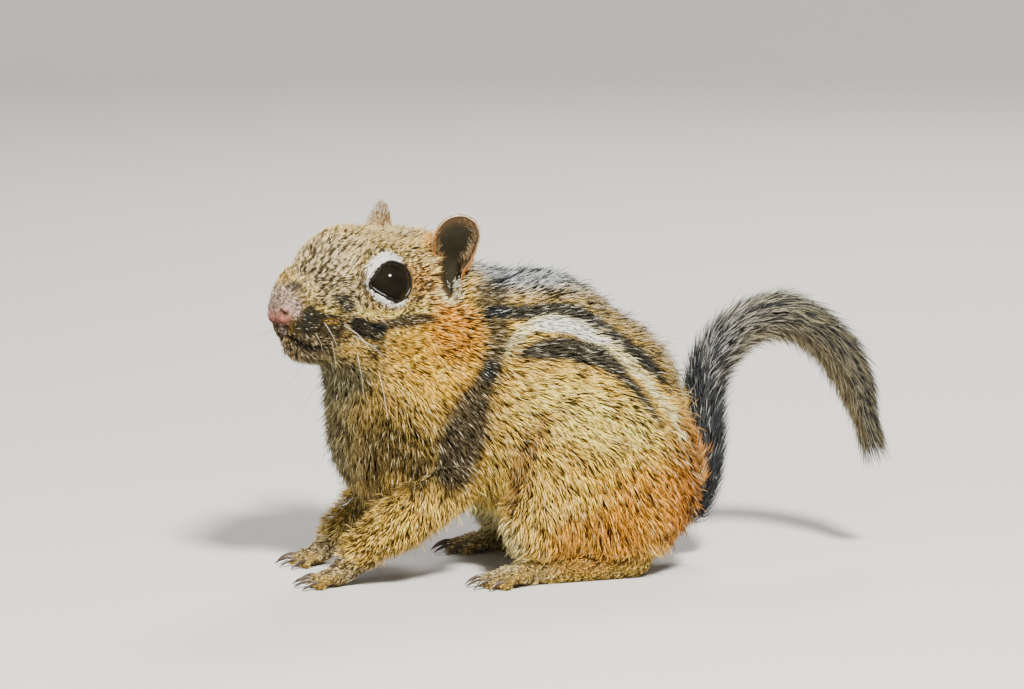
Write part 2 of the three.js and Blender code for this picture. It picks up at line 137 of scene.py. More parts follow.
bodyShape = {
    "trunk": [((-19, 0, 38), (20, 17, 21)), ((-5, 0, 36), (19, 18.5, 24.5)), ((4, 0, 27), (22, 19, 24)),
              ((-30.5, -1, 29), (14, 13.5, 18))],
    "trunkPairs": [((8, 13.5, 20.5), (18.5, 9.5, 18), 0), ((-7, 16, 13), (8, 6, 9), 20),
                   ((-29, 10, 30), (9, 7, 14), -12)],
    "skull": [((-7, 0, 1), (15.5, 12, 9.5), 0), ((4.5, 0, 1.0), (10.5, 9.4, 9.2), -20),
              ((15.4, 0, -1.9), (4.5, 3.7, 4.5), 0), ((10.6, 0, -5.6), (9.8, 6, 6.4), -10),
              ((10.9, 0, -12.2), (6.4, 4.2, 3.7), 8),
              ((0, 0, -11.2), (11, 8.5, 6.3), 0)],
    "skullPairs": [((-4, 6.5, -6.5), (10.5, 7, 7.5), 0), ((13.2, 3, -9.4), (5.2, 3.4, 3.1), -10),
                   ((0.5, 7.6, 4.6), (7, 3.6, 3), 0)],
    "collar": [((-10, 0, -3), (-18, 0, 43), (12, 16)), ((0, 0, -9), (-34, -1, 30), (8.5, 13))],
    "reach": {"trunk": 7, "limb": 5.5, "neck": 6, "head": 3.5},
}


def fleshField(points, onHead):
    reach = bodyShape["reach"]
    sides = folded(points)
    trunk = meltAll([eggField(points, *mass) for mass in bodyShape["trunk"]], reach["trunk"])
    limbs = meltAll([eggField(sides, *mass) for mass in bodyShape["trunkPairs"]], reach["limb"])
    face = folded(onHead)
    skull = meltAll([eggField(face, *mass) for mass in bodyShape["skull"] + bodyShape["skullPairs"]], reach["head"])
    necks = meltAll([coneField(points, fromHead(a), b, radii) for a, b, radii in bodyShape["collar"]], reach["neck"])
    return melt(melt(melt(trunk, limbs, reach["limb"]), necks, reach["neck"]), skull, reach["head"])


# The four legs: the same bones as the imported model, a little thinner for the hair on them
legShape = {
    "foreleg": [(-26, 13, 20), (-35, 13, 13), (-43.5, 11.4, 7)],
    "forelegRadii": (4.2, 3.5, 2.2),
    "hand": {"heel": (-42.6, 11.5, 5.4), "ball": (-47.6, 11, 2.2), "radii": (2.2, 2.05),
             "toes": (3.9, 4.9, 4.9, 4), "toeRadius": 1.1, "spread": 15, "setOff": 1.45},
    "foot": {"heel": (12, 14.5, 3.6), "ball": (-11, 17.2, 2.2), "radii": (3.3, 2.5),
             "toes": (5, 7.4, 8, 7.6, 5.4), "toeRadius": 1.25, "spread": 8, "setOff": 1.35},
    "hairDepth": 0.3,
}


def toeLines(paw, side):
    heel = np.array(paw["heel"], float) * (1, -side, 1)
    ball = np.array(paw["ball"], float) * (1, -side, 1)
    forward = unit((ball - heel) * (1, 1, 0))
    across = np.cross((0, 0, 1), forward)
    lines = []
    for n, length in enumerate(paw["toes"]):
        off = n - (len(paw["toes"]) - 1) / 2
        aim = turn("z", off * paw["spread"]) @ forward
        root = ball + across * off * paw["setOff"]
        bend = (root + aim * 0.55 * length) * (1, 1, 0) + (0, 0, 1.75 * paw["toeRadius"])
        tip = (root + aim * length) * (1, 1, 0) + (0, 0, 0.8 * paw["toeRadius"])
        lines.append((root, bend, tip, aim))
    return lines


def toeGaps():
    gaps = []
    for side in (1, -1):
        for paw in (legShape["hand"], legShape["foot"]):
            toes = toeLines(paw, side)
            gaps += [[(a[n] + b[n]) / 2 - (0, 0, 0.2) for n in (1, 2)] for a, b in zip(toes, toes[1:])]
    return gaps


def pawField(points, paw, side):
    value = np.full(len(points), 30.0)
    ball = np.array(paw["ball"], float) * (1, -side, 1)
    heel = np.array(paw["heel"], float) * (1, -side, 1)
    near = coneField(points, heel, ball, (0, 0)) < 14
    p = points[near]
    sole = coneField(p, heel, ball, paw["radii"])
    thick = paw["toeRadius"] - legShape["hairDepth"]
    toes = np.full(len(p), 30.0)
    for root, bend, tip, _ in toeLines(paw, side):
        toe = melt(coneField(p, root, bend, (thick, 0.92 * thick)),
                   coneField(p, bend, tip, (0.92 * thick, 0.95 * thick)), 0.5)
        toe = melt(toe, np.linalg.norm(p - tip + (0, 0, 0.25), axis=1) - 1.02 * thick, 0.4)
        toes = melt(toes, toe, 0.15)
    value[near] = melt(sole, toes, 0.9)
    return value


def legField(points):
    sides = folded(points)
    a, b, c = legShape["foreleg"]
    r = legShape["forelegRadii"]
    value = melt(coneField(sides, a, b, r[:2]), coneField(sides, b, c, r[1:]), 2)
    for side in (1, -1):
        value = melt(value, pawField(points, legShape["hand"], side), 1.6)
        value = melt(value, pawField(points, legShape["foot"], side), 1.2)
    return value


# The tail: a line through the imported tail's points, the coat's half widths and the bone's share of them
tailShape = {
    "line": [(14, 0, 13), (22.5, 0.5, 9), (28.2, 1, 11), (30.6, 1.5, 21), (30.6, 2, 31), (32, 2, 40),
             (38, 1.5, 47.3), (47.5, 0.5, 49.5), (56.5, -1, 43.8), (61.4, -2.5, 35), (63.2, -3.5, 28.5)],
    "halfWidths": [3.6, 4.2, 4.8, 5.2, 5.5, 5.8, 6.2, 6.3, 6, 5.2, 3.4],
    "bone": 0.36,
    "samples": 60,
}


def smoothLine(line, shares):
    line = np.asarray(line, float)
    ends = np.vstack([2 * line[0] - line[1], line, 2 * line[-1] - line[-2]])
    at = np.clip(shares, 0, 1) * (len(line) - 1)
    n = np.minimum(at.astype(int), len(line) - 2)
    w = (at - n)[:, None]
    p0, p1, p2, p3 = (ends[n + k] for k in range(4))
    d0, d1, d2 = (np.sqrt(np.linalg.norm(b - a, axis=1))[:, None] for a, b in ((p0, p1), (p1, p2), (p2, p3)))
    m1 = ((p1 - p0) / d0 - (p2 - p0) / (d0 + d1) + (p2 - p1) / d1) * d1
    m2 = ((p2 - p1) / d1 - (p3 - p1) / (d1 + d2) + (p3 - p2) / d2) * d1
    return p1 + m1 * w + (3 * (p2 - p1) - 2 * m1 - m2) * w ** 2 + (2 * (p1 - p2) + m1 + m2) * w ** 3


tailShares = np.linspace(0, 1, tailShape["samples"])
tailLine = smoothLine(tailShape["line"], tailShares)
tailWidths = np.interp(tailShares, np.linspace(0, 1, len(tailShape["halfWidths"])), tailShape["halfWidths"])
tailAlong = unit(np.gradient(tailLine, axis=0))
tailLength = np.linalg.norm(np.diff(tailLine, axis=0), axis=1).sum()


def tailField(points):
    value = np.full(len(points), 30.0)
    near = points[:, 0] > 12
    value[near] = lineField(points[near], tailLine[::2], tailShape["bone"] * tailWidths[::2])
    return value


# The face: eye openings, creases, folds and ears, all in the head's frame and the same on both sides
def byAngle(pairs, window):
    angles, values = zip(*pairs)
    table = np.interp(np.arange(360), angles, values, period=360)
    share = np.hanning(2 * window + 3)[1:-1]
    ring = np.convolve(np.concatenate([table[-window:], table, table[:window]]), share / share.sum(), "valid")
    return np.append(ring, ring[0])


eyeShape = {
    "at": (0.75, 9.35, -0.05), "radius": 4.75, "facing": (0.3, 0.93, 0.2), "lid": 0.5, "lidBlend": 1.5,
    "thickLid": {"by": 0.28, "around": 228, "spread": 24},
    "opening": [(0, 63), (30, 62.5), (60, 58.5), (90, 55), (120, 46), (150, 41), (174, 47), (188, 62), (200, 57),
                (220, 48.5), (245, 44.5), (270, 51), (300, 61.5), (330, 65), (360, 63)],
}
eyeLids = byAngle(eyeShape["opening"], 7)
eyeAt = np.array(eyeShape["at"], float)
eyeOut = unit(eyeShape["facing"])
eyeBack = unit(np.cross((0, 0, 1), eyeOut))
eyeUp = np.cross(eyeOut, eyeBack)


def eyeOpening(face):
    off = face - eyeAt
    away = np.linalg.norm(off, axis=1)
    around = np.degrees(np.arctan2(off @ eyeUp, off @ eyeBack)) % 360
    lean = np.degrees(np.arccos(np.clip(off @ eyeOut / np.maximum(away, 1e-6), -1, 1)))
    return away, np.radians(lean - np.interp(around, np.arange(361), eyeLids)) * eyeShape["radius"], around


# The ear's rim, as distances by angle: 0 back, 90 up, 180 front, 270 the notch
earShape = {
    "at": (-13, 12.4, 5.4), "facing": (0.55, 0.83, 0.05), "depth": 4.3, "flatTop": 0.62, "wall": 0.42,
    "rings": 24, "turns": 96, "rightMove": (2.2, -0.8, 1.5),
    "rim": [(6, 3.4), (30, 4.8), (46, 6.8), (62, 8.3), (79, 8.7), (94, 8.3), (108, 7.6), (126, 6.3), (152, 4.7),
            (195, 3.8), (222, 4.3), (238, 5.3), (252, 7.4), (264, 8.9), (273, 8.7), (280, 6.6), (288, 4.4),
            (300, 3.4), (330, 3.1)],
}
earRim = byAngle(earShape["rim"], 6)
earOut = unit(earShape["facing"])
earBack = unit(np.cross((0, 0, 1), earOut))
earUp = np.cross(earOut, earBack)


# Places across the ear's mouth (back, up, 0), and how far out of it they are
def earPlane(onHead):
    off = folded(onHead) - earShape["at"]
    off -= np.where(onHead[:, 1:2] < 0, 1, 0) * np.array(earShape["rightMove"]) * (1, -1, 1)
    return np.column_stack([off @ earBack, off @ earUp, np.zeros(len(off))]), off @ earOut


def earDepth(height):
    return earShape["depth"] * (1 - earShape["flatTop"] * smooth(-2, 6, height))


def earHollow(onHead, over):
    flat, out = earPlane(onHead)
    across = np.hypot(flat[:, 0], flat[:, 1])
    rim = np.interp(np.degrees(np.arctan2(flat[:, 1], flat[:, 0])) % 360, np.arange(361), earRim) * 0.97
    floor = -out - 0.95 * earDepth(flat[:, 1]) * np.sqrt(np.clip(1 - (across / rim) ** 2.5, 0, 1))
    return np.maximum(np.maximum(across - rim, floor), out - over)


# The nose: its dome, the wings beside it, the nostrils' holes, the cleft and four tints: the flush and the dome's own
# colours, and painted shade under the nose and in the nostrils
noseShape = {
    "at": (17.8, 0, -5.3), "half": (3.0, 3.6, 3.8), "wing": ((17.2, 2.5, -6.2), (2.9, 1.8, 2.2)),
    "septum": ((19.2, 1.8, -7.5), (1.4, 1.3, 1.1)),
    "nostril": [(20.6, 2.2, -5.8), (20.3, 2.7, -6.1), (19.9, 3.2, -6.5)], "hole": 0.2,
    "cleft": [(21, 0, -6.2), (20.4, 0, -7.8), (18.9, 0, -9.4)],
    "flush": (0.36, 0.135, 0.085), "dome": (0.42, 0.25, 0.20), "under": (0.10, 0.032, 0.016),
    "holeShade": (0.05, 0.018, 0.012),
}

# Creases in the face: line, half width, depth
creases = [
    ([(19.2, 0, -10.9), (18.2, 1.9, -11.1), (16.8, 3.4, -12), (14.5, 4.4, -13.1), (11.9, 5.4, -12.9),
      (9.1, 6.2, -12.3)], 0.55, 0.8),
    ([(20.6, 0, -7.6), (20.2, 0, -9.2), (19, 0, -10.8)], 0.4, 0.5),
    ([(16.4, 3.4, -3.2), (15.3, 4.6, -5.2), (15.6, 4.8, -7.6), (17.4, 3.6, -8.8)], 0.65, 0.5),
    ([(8.8, 7.2, -12.6), (7.4, 7.8, -14.4)], 0.9, 0.5),
    ([(6.4, 9.6, 0), (8.6, 8.2, -1.6), (10.4, 6.9, -2.6)], 1.1, 0.35),
    ([(-7.5, 12.2, 8), (-7.8, 13, 4), (-9.5, 13.8, 0)], 1.2, 0.5),
]


def noseBulk(face):
    return melt(eggField(face, noseShape["at"], noseShape["half"]), eggField(face, *noseShape["wing"]), 1.8)


def faceField(value, onHead):
    face = folded(onHead)
    near = np.abs(face[:, 0]) + np.abs(face[:, 1]) + np.abs(face[:, 2]) < 48
    f = face[near]
    v = value[near]
    for line, width, depth in creases:
        v = v + depth * np.exp(-(lineField(f, line) / width) ** 2)
    away, open_, around = eyeOpening(f)
    thick = eyeShape["thickLid"]
    lid = eyeShape["lid"] + thick["by"] * np.exp(-((around - thick["around"]) / thick["spread"]) ** 2)
    v = melt(v, carve(away - eyeShape["radius"] - lid, -open_, 0.5), eyeShape["lidBlend"])
    v = carve(v, np.where((away > 3) & (away < 8), -open_, -50), 0.4)
    v = np.maximum(v, eyeShape["radius"] + 0.02 - away)
    v = carve(v, -earHollow(onHead[near], 3), 0.25)
    v = melt(v, noseBulk(f) - 0.12 + 0.5 * smooth(16.4, 18.6, f[:, 0]), 1.6)
    value = value.copy()
    value[near] = v
    return value


# How deep the coat is at each place
coatShape = {"trunk": 2.0, "headBack": 1.3, "brow": 0.65, "bridge": 0.45, "muzzle": 0.25, "eyeRing": 0.25, "nose": 0.1,
             "low": 0.9}


def coatDepth(points, onHead):
    face = folded(onHead)
    forward = np.interp(face[:, 0], [-18, -8, 2, 9, 16, 19],
                        [coatShape[part] for part in ("trunk", "headBack", "brow", "bridge", "muzzle", "nose")])
    below = smooth(-15, -25, onHead[:, 2])
    depth = forward + (coatShape["trunk"] - forward) * below
    nearEye = 1 - smooth(5, 9, np.linalg.norm(face - eyeAt, axis=1))
    depth = depth + (coatShape["eyeRing"] - depth) * nearEye
    low = 1 - smooth(3, 9, points[:, 2])
    return depth + (coatShape["low"] - depth) * low * (depth > coatShape["low"])


def skinField(points):
    onHead = toHead(points)
    value = fleshField(points, onHead) + coatDepth(points, onHead)
    value = melt(value, legField(points), 1.8)
    value = melt(value, tailField(points), 3)
    value = faceField(value, onHead)
    return np.maximum(value, 0.02 - points[:, 2])


def slopeOf(field, points, step=0.06):
    here = field(points)
    moved = [field(points + np.eye(3)[a] * step) for a in range(3)]
    return here, np.stack([(m - here) / step for m in moved], axis=1)


def normalsOf(field, points):
    return unit(slopeOf(field, points)[1])


def settled(field, points, most, rounds=2):
    for _ in range(rounds):
        here, slope = slopeOf(field, points)
        move = here[:, None] * slope / np.maximum((slope ** 2).sum(1), 0.05)[:, None]
        points = points - np.clip(move, -most, most)
    return points


# The zero surface of a field: one point in each grid cell that it crosses, one quad round each crossed edge
def surfaceOf(field, xs, ys, zs, block=5):
    counts = [len(xs), len(ys), len(zs)]
    value = np.zeros(counts, np.float32)
    picks = [np.unique(np.append(np.arange(0, c, block), c - 1)) for c in counts]
    rough = np.stack(np.meshgrid(xs[picks[0]], ys[picks[1]], zs[picks[2]], indexing="ij"), -1)
    roughValue = field(rough.reshape(-1, 3)).reshape(rough.shape[:3])
    wanted = np.zeros(counts, bool)
    width = block * max(np.diff(a).max() for a in (xs, ys, zs)) * 1.75
    for i in range(len(picks[0]) - 1):
        for j in range(len(picks[1]) - 1):
            for k in range(len(picks[2]) - 1):
                corner = roughValue[i:i + 2, j:j + 2, k:k + 2]
                span = (slice(picks[0][i], picks[0][i + 1] + 1), slice(picks[1][j], picks[1][j + 1] + 1),
                        slice(picks[2][k], picks[2][k + 1] + 1))
                if np.abs(corner).min() < width:
                    wanted[span] = True
                else:
                    value[span] = corner.flat[0]
    n = np.argwhere(wanted)
    value[wanted] = field(np.stack([xs[n[:, 0]], ys[n[:, 1]], zs[n[:, 2]]], 1))
    inside = value < 0
    total = sum(inside[a:counts[0] - 1 + a, b:counts[1] - 1 + b, c:counts[2] - 1 + c].astype(np.int8)
                for a in (0, 1) for b in (0, 1) for c in (0, 1))
    cells = np.argwhere((total > 0) & (total < 8))
    cellOf = np.full(counts, -1, np.int32)
    cellOf[tuple(cells.T)] = np.arange(len(cells))
    corners = np.array([(a, b, c) for a in (0, 1) for b in (0, 1) for c in (0, 1)])
    at = value[tuple((cells[:, None] + corners).transpose(2, 0, 1))]
    sums = np.zeros((len(cells), 3))
    hits = np.zeros(len(cells))
    for p in range(8):
        for q in range(p + 1, 8):
            if np.abs(corners[p] - corners[q]).sum() == 1:
                crossed = (at[:, p] < 0) != (at[:, q] < 0)
                t = at[:, p] / np.where(crossed, at[:, p] - at[:, q], 1)
                sums += crossed[:, None] * (corners[p] + t[:, None] * (corners[q] - corners[p]))
                hits += crossed
    share = sums / hits[:, None]
    points = np.stack([np.interp(cells[:, a] + share[:, a], np.arange(counts[a]), axis)
                       for a, axis in enumerate((xs, ys, zs))], 1)
    quads = []
    for a in range(3):
        b, c = (a + 1) % 3, (a + 2) % 3
        low = [slice(None)] * 3
        low[a] = slice(0, counts[a] - 1)
        high = list(low)
        high[a] = slice(1, counts[a])
        edge = np.argwhere(inside[tuple(low)] != inside[tuple(high)])
        edge = edge[(edge[:, b] > 0) & (edge[:, c] > 0)]
        stepB, stepC = np.eye(3, dtype=int)[b], np.eye(3, dtype=int)[c]
        ring = np.stack([cellOf[tuple((edge - s).T)] for s in (stepB + stepC, stepC, 0 * stepB, stepB)], 1)
        flip = ~inside[tuple(edge.T)]
        ring[flip] = ring[flip][:, ::-1]
        quads.append(ring)
    quads = np.concatenate(quads)
    return points, quads[(quads >= 0).all(1)]


# From the maker's millimetres to the scene's metres
packedEye = [np.array(corner, float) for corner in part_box("eye_left")]
shift = (packedEye[0] + packedEye[1]) / 2 * 1000 - fromHead((0.9, 9.35, 0))


def toScene(points):
    return (points + shift) / 1000


def makeObject(name, points, faces, smoothFaces=True):
    mesh = bpy.data.meshes.new(name)
    mesh.from_pydata(toScene(points).tolist(), [], faces if isinstance(faces, list) else faces.tolist())
    mesh.validate()
    mesh.polygons.foreach_set("use_smooth", np.full(len(mesh.polygons), smoothFaces))
    thing = bpy.data.objects.new(name, mesh)
    bpy.context.scene.collection.objects.link(thing)
    return thing


def meshPoints(thing):
    co = np.empty(3 * len(thing.data.vertices))
    thing.data.vertices.foreach_get("co", co)
    return co.reshape(-1, 3) * 1000 - shift


def storeColour(thing, colours, name="coat"):
    layer = thing.data.color_attributes.new(name, "FLOAT_COLOR", "POINT")
    layer.data.foreach_set("color", np.hstack([colours, np.ones((len(colours), 1))]).astype(np.float32).ravel())


# Pale hair that curls round the ear's notch, and the dark gap in it: both lines run across the ear's mouth.
# Its base is in the head's frame
notch = {
    "line": [(2.5, -2.4, 0), (2, -3.4, 0), (1.3, -4.6, 0), (1.1, -5.6, 0), (1.6, -6.8, 0), (1.2, -8, 0),
             (-0.3, -8.8, 0), (-1.9, -8.3, 0), (-2.6, -7.2, 0), (-2.6, -5.8, 0)],
    "middle": (-0.8, -5.5, 0), "base": (-12.4, 13, -2.4),
    "gap": [(0.2, -1.4, 0), (-0.9, -3.8, 0), (-0.9, -6, 0), (-0.6, -7.3, 0)], "gapWide": [1.3, 1, 0.8, 0.55],
    "count": 760, "band": 0.32, "length": (0.6, 1.3), "width": 0.05, "tint": (0.84, 0.77, 0.58),
}

# Markings and painted shade. A colour is the hair's red, green and blue, as linear values, and its shares of dark and
# frosted hairs. The maroon colour is painted shade; the throat, chin, olive and rust colours are their own hues
# darkened as painted shade
furColours = {
    "tan": (0.80, 0.49, 0.085, 0.3, 0.1), "gold": (0.86, 0.46, 0.035, 0.28, 0.08),
    "yellow": (0.97, 0.71, 0.15, 0.32, 0.22), "orange": (0.68, 0.25, 0.016, 0.32, 0.05),
    "rustShade": (0.30, 0.10, 0.012, 0.45, 0.1), "brown": (0.25, 0.125, 0.032, 0.45, 0.1),
    "cream": (0.95, 0.80, 0.38, 0.12, 0.2), "white": (0.95, 0.93, 0.86, 0.02, 0),
    "silver": (0.17, 0.205, 0.23, 0.75, 0.52), "ticked": (0.16, 0.12, 0.048, 0.62, 0.38),
    "grizzle": (0.56, 0.42, 0.18, 0.62, 0.42), "pale": (0.64, 0.50, 0.27, 0.5, 0.36),
    "slate": (0.026, 0.031, 0.030, 0.1, 0.07), "lead": (0.018, 0.023, 0.024, 0.1, 0.07),
    "black": (0.013, 0.012, 0.010, 0.04, 0.03), "oliveShade": (0.032, 0.026, 0.010, 0.15, 0.06),
    "throatShade": (0.16, 0.142, 0.07, 0.05, 0.04), "chinShade": (0.22, 0.16, 0.08, 0.15, 0.08),
    "pink": (0.56, 0.40, 0.33, 0.25, 0.3), "lip": (0.40, 0.31, 0.25, 0.15, 0.2),
    "maroonShade": (0.08, 0.022, 0.010, 0.1, 0),
}
# A patch: frame, middle, half sizes, colour, strength. Left and right are alike
coatPatches = [
    ("body", (-14, 0, 4), (44, 15, 12), "cream", 0.9),
    # Throat and chest: their own pale olive, darkened as painted shade under the chin and on the chest's near side
    ("body", (-44, 0, 33), (15, 16, 25), "throatShade", 0.93),
    ("body", (-34, 8, 12), (10, 9, 12), "throatShade", 0.7),
    ("body", (-37, 13, 27), (9, 9, 14), "oliveShade", 0.85),
    ("body", (6, 0, 56), (30, 13, 16), "ticked", 0.95),
    ("body", (-10, 0, 60), (17, 13, 9), "silver", 0.95),
    ("body", (20, 0, 42), (13, 13, 14), "ticked", 0.85),
    ("body", (-26, 17, 46), (8, 8, 13), "gold", 0.9),
    ("body", (-26, 15, 52), (6, 6, 8), "orange", 0.4),
    # Yellow on the flank and haunch: the golden fur, brightened as a painted highlight where the light falls
    ("body", (-4, 20, 36), (12, 8, 7), "yellow", 0.5),
    ("body", (8, 22, 30), (10, 8, 9), "yellow", 0.6),
    ("body", (10, 22, 20), (16, 8, 10), "gold", 0.5),
    # Rust on the rump: its own colour, darkened at the rear as painted shade
    ("body", (22, 12, 18), (8.5, 18, 19), "rustShade", 0.92),
    ("body", (13, 21, 15), (12, 8, 13), "orange", 0.7),
    ("body", (2, 21, 9), (12, 8, 8), "orange", 0.65),
    ("body", (-36, 16, 15), (9, 6, 9), "tan", 0.8),
    ("body", (-46, 11, 3), (8, 5, 5), "pale", 0.8),
    ("body", (-14, 17, 2), (12, 6, 3.5), "pale", 0.7),
    ("body", (-14, 15, 8), (7, 7, 7), "cream", 0.6),
    ("head", (0, 0, 0), (23, 17, 14), "grizzle", 0.9),
    ("head", (10, 3, 3), (9, 8, 8), "pale", 0.7),
    ("head", (-9, 0, 11), (9, 9, 7), "grizzle", 0.7),
    ("head", (-7, 13, -13), (10, 8, 9), "gold", 0.9),
    ("head", (-12, 15, -9), (7, 8, 7), "orange", 0.7),
    ("head", (-5, 12, 1), (4.5, 4, 4), "orange", 0.5),
    # The muzzle's lower side and the chin: their own dark olive, darkened further as painted shade under the muzzle
    ("head", (14, 6, -9), (9, 6, 6), "oliveShade", 0.97),
    ("head", (15, 3, -13.5), (8, 7, 4), "chinShade", 0.95),
    ("head", (19.4, 0, -10), (2.2, 2.8, 3), "lip", 0.95),
    # The throat under the jaw: its own olive-grey, darkened as painted shade under the chin
    ("head", (4, 0, -18), (13, 9.5, 7.5), "throatShade", 0.95),
    ("head", (18.6, 0, -3.4), (4.4, 5.4, 3.8), "pink", 0.95),
    # Painted shade beside the nose wing
    ("head", (15.8, 5.2, -7), (2.1, 2.6, 3.2), "oliveShade", 0.97),
    ("head", (18.6, 3.6, -5.4), (1.7, 2.4, 2.4), "pink", 0.9),
    # Painted shade in the gap under the nose, above the lip
    ("head", (18.8, 1.8, -8.8), (1.5, 2, 1), "maroonShade", 0.95),
    ("head", (18.2, 3, -1.1), (2.3, 1.9, 1.4), "slate", 0.85),
    ("head", (-11, 8, 8.5), (3.4, 4, 4.4), "orange", 0.9),
    ("head", (6.6, 9.8, -0.4), (1.5, 1, 0.8), "black", 0.85),
]
# A line: frame, points, half widths, softness, colour, strength
coatLines = [
    ("body", [(-24, 0, 62), (-14, 0, 60.5), (-4, 0, 60.5), (6, 0, 56), (16, 0, 47), (24, 0, 34)],
     [0.8, 1.2, 1.4, 1.4, 1.2, 0.7], 0.9, "black", 0.95),
    ("body", [(-17.5, 13.5, 54.4), (-12.7, 13.2, 54.4), (-8.3, 12.9, 54), (-4.5, 12.4, 54.3), (-0.2, 11.9, 53.6),
              (3.7, 11.7, 51.7), (7.1, 11.7, 49.2), (10.8, 11.1, 46.9), (14.8, 10.7, 43.5), (17.5, 11.2, 40),
              (20, 11.5, 36)],
     [0.8, 1.5, 1.7, 1.9, 2.1, 2.1, 2.1, 2, 1.8, 1.3, 0.5], 0.9, "slate", 0.97),
    ("body", [(-15, 17.2, 47.4), (-11.3, 15.4, 51), (-8.7, 14.6, 51.8), (-5, 14.1, 52), (-1.4, 14, 51.4),
              (2.1, 14.1, 49.7), (5.6, 13.8, 47.8), (9.1, 13.8, 45), (13.3, 14, 41), (16.3, 16.1, 37),
              (18.8, 17.6, 33.3), (20.4, 18.6, 29.8)],
     [0.7, 1, 1.2, 1.5, 1.6, 1.5, 1.5, 1.4, 1.3, 1.2, 1, 0.7], 0.8, "cream", 0.95),
    ("body", [(-8.7, 14.6, 51.8), (-5, 14.1, 52), (-1.4, 14, 51.4), (2.1, 14.1, 49.7), (5.6, 13.8, 47.8)],
     [0.6, 1.3, 1.4, 1.2, 0.6], 0.8, "white", 0.95),
    ("body", [(-12.4, 17.5, 46.4), (-10.7, 17.3, 46.9), (-7.4, 16.8, 47.5), (-3.5, 16.5, 47.4), (0.5, 16.3, 46.6),
              (4.4, 15.8, 45.2), (7.9, 15.7, 42.7), (11.1, 17.1, 39), (13.2, 18.5, 36.1), (15, 19.6, 33)],
     [0.6, 1.2, 1.9, 2.3, 2.3, 2, 1.6, 1.2, 0.8, 0.4], 1.1, "slate", 0.96),
    # Dark bands from behind the ear down the shoulder: dark grizzled fur in the fold, widened and darkened as painted
    # shade cast by the head
    ("body", [(-14.3, 6.8, 59.7), (-16, 9.9, 58.2), (-17.4, 12.5, 56), (-16.5, 14.1, 53.6), (-16.5, 16.1, 50.1),
              (-17.2, 17.2, 46.9), (-18.5, 17.9, 43.7)],
     [1.2, 2.4, 2.6, 2.2, 1.7, 1.4, 1.2], 2.4, "lead", 0.88),
    ("body", [(-18.5, 17.9, 43.7), (-20.5, 17.9, 39.5), (-22.1, 17.7, 36), (-23.3, 17.6, 32.6), (-23.9, 17.5, 29.6),
              (-24.2, 17.1, 26.5), (-25.9, 16.6, 23.1), (-27.7, 15.2, 19.3)],
     [1.2, 2.1, 3.2, 4.2, 4.6, 4.2, 3.2, 1.8], 3, "lead", 0.92),
    # Painted shade in the shoulder fold, beside the chest
    ("body", [(-31, 15.5, 33), (-31, 15.5, 27), (-32, 15, 21)], [1.5, 2.4, 2], 3, "oliveShade", 0.75),
    # Painted shade in the fold at the thigh's front edge
    ("body", [(-7.3, 19.3, 34.3), (-9.8, 18.8, 29.3), (-11.8, 17.8, 25.2), (-13.1, 17.1, 20.7), (-13.6, 17.8, 17.2)],
     [0.3, 1, 1.6, 1.8, 1.4], 1.8, "brown", 0.75),
    ("body", [(-9, 4, 58.7), (0, 5.5, 56.8), (8, 6, 52), (16, 6, 45)], [0.8, 1, 1.2, 1], 1.4, "brown", 0.3),
    ("head", [(14.4, 5.8, -5.2), (12, 6.5, -5.5), (9.4, 7, -5.9)], [0.2, 0.35, 0.3], 0.6, "yellow", 0.7),
    ("head", [(13, 6.4, -7.8), (11.4, 6.6, -7.7), (9.6, 7.2, -7.9)], [0.1, 0.25, 0.2], 0.6, "gold", 0.5),
    ("head", [(7.7, 7.9, -5.6), (4.3, 10.8, -5.6), (-0.5, 13.1, -6.4), (-6.8, 13.5, -4.6)],
     [0.5, 0.7, 0.7, 0.4], 0.7, "yellow", 0.7),
    ("head", [(11, 6.6, -2.9), (9.2, 7.2, -3.6), (8.4, 7.5, -4.8)], [0.4, 1.1, 1.2], 0.9, "lead", 0.9),
    ("head", [(7.2, 8.1, -7.8), (6.2, 8.8, -8.8), (4.6, 10, -9.3), (3.4, 10.8, -9.4)],
     [1.2, 1.8, 1.8, 1.3], 0.9, "black", 0.97),
    ("head", [(3.7, 11.1, -8.4), (1.8, 12.3, -7.8), (-0.9, 13.2, -7.2), (-3.9, 13.5, -6.9), (-7, 13.6, -6.7)],
     [1, 0.9, 1.2, 1.1, 0.7], 0.9, "lead", 0.88),
    # Painted shade below the cheek stripe, towards the mouth's corner
    ("head", [(3.6, 10.6, -10.6), (2.8, 10, -12.6), (3, 8.6, -14.6)], [0.9, 1.1, 0.8], 1.5, "oliveShade", 0.75),
    ("head", [(-3.4, 12.1, 0.6), (-5.5, 12.5, 0.2), (-8.4, 12.8, -0.6)], [0.3, 0.5, 0.3], 0.8, "brown", 0.8),
    ("head", [(7.2, 9.2, 4.6), (5.6, 9.9, 6), (2.6, 10, 7.2)], [0.2, 0.4, 0.3], 0.7, "slate", 0.7),
    # The mouth line: painted shade in the crease between the lips
    ("head", [(19, 0, -11), (18.1, 2, -11.1), (16.7, 3.5, -12.1), (14.4, 4.5, -13.2), (11.8, 5.5, -13)],
     [0.3, 0.45, 0.6, 0.6, 0.4], 0.8, "black", 0.9),
    # Painted shade in the crease beside the nose wing
    ("head", [(16.5, 5.2, -7), (16.4, 5, -9.6)], [0.4, 0.5], 0.9, "lead", 0.8),
    # The nostril slit: painted shade in its opening
    ("head", [(20.2, 2.1, -5.8), (19.9, 2.6, -6.1), (19.5, 3.1, -6.5)], [0.7, 0.7, 0.7], 0.3, "maroonShade", 1),
]

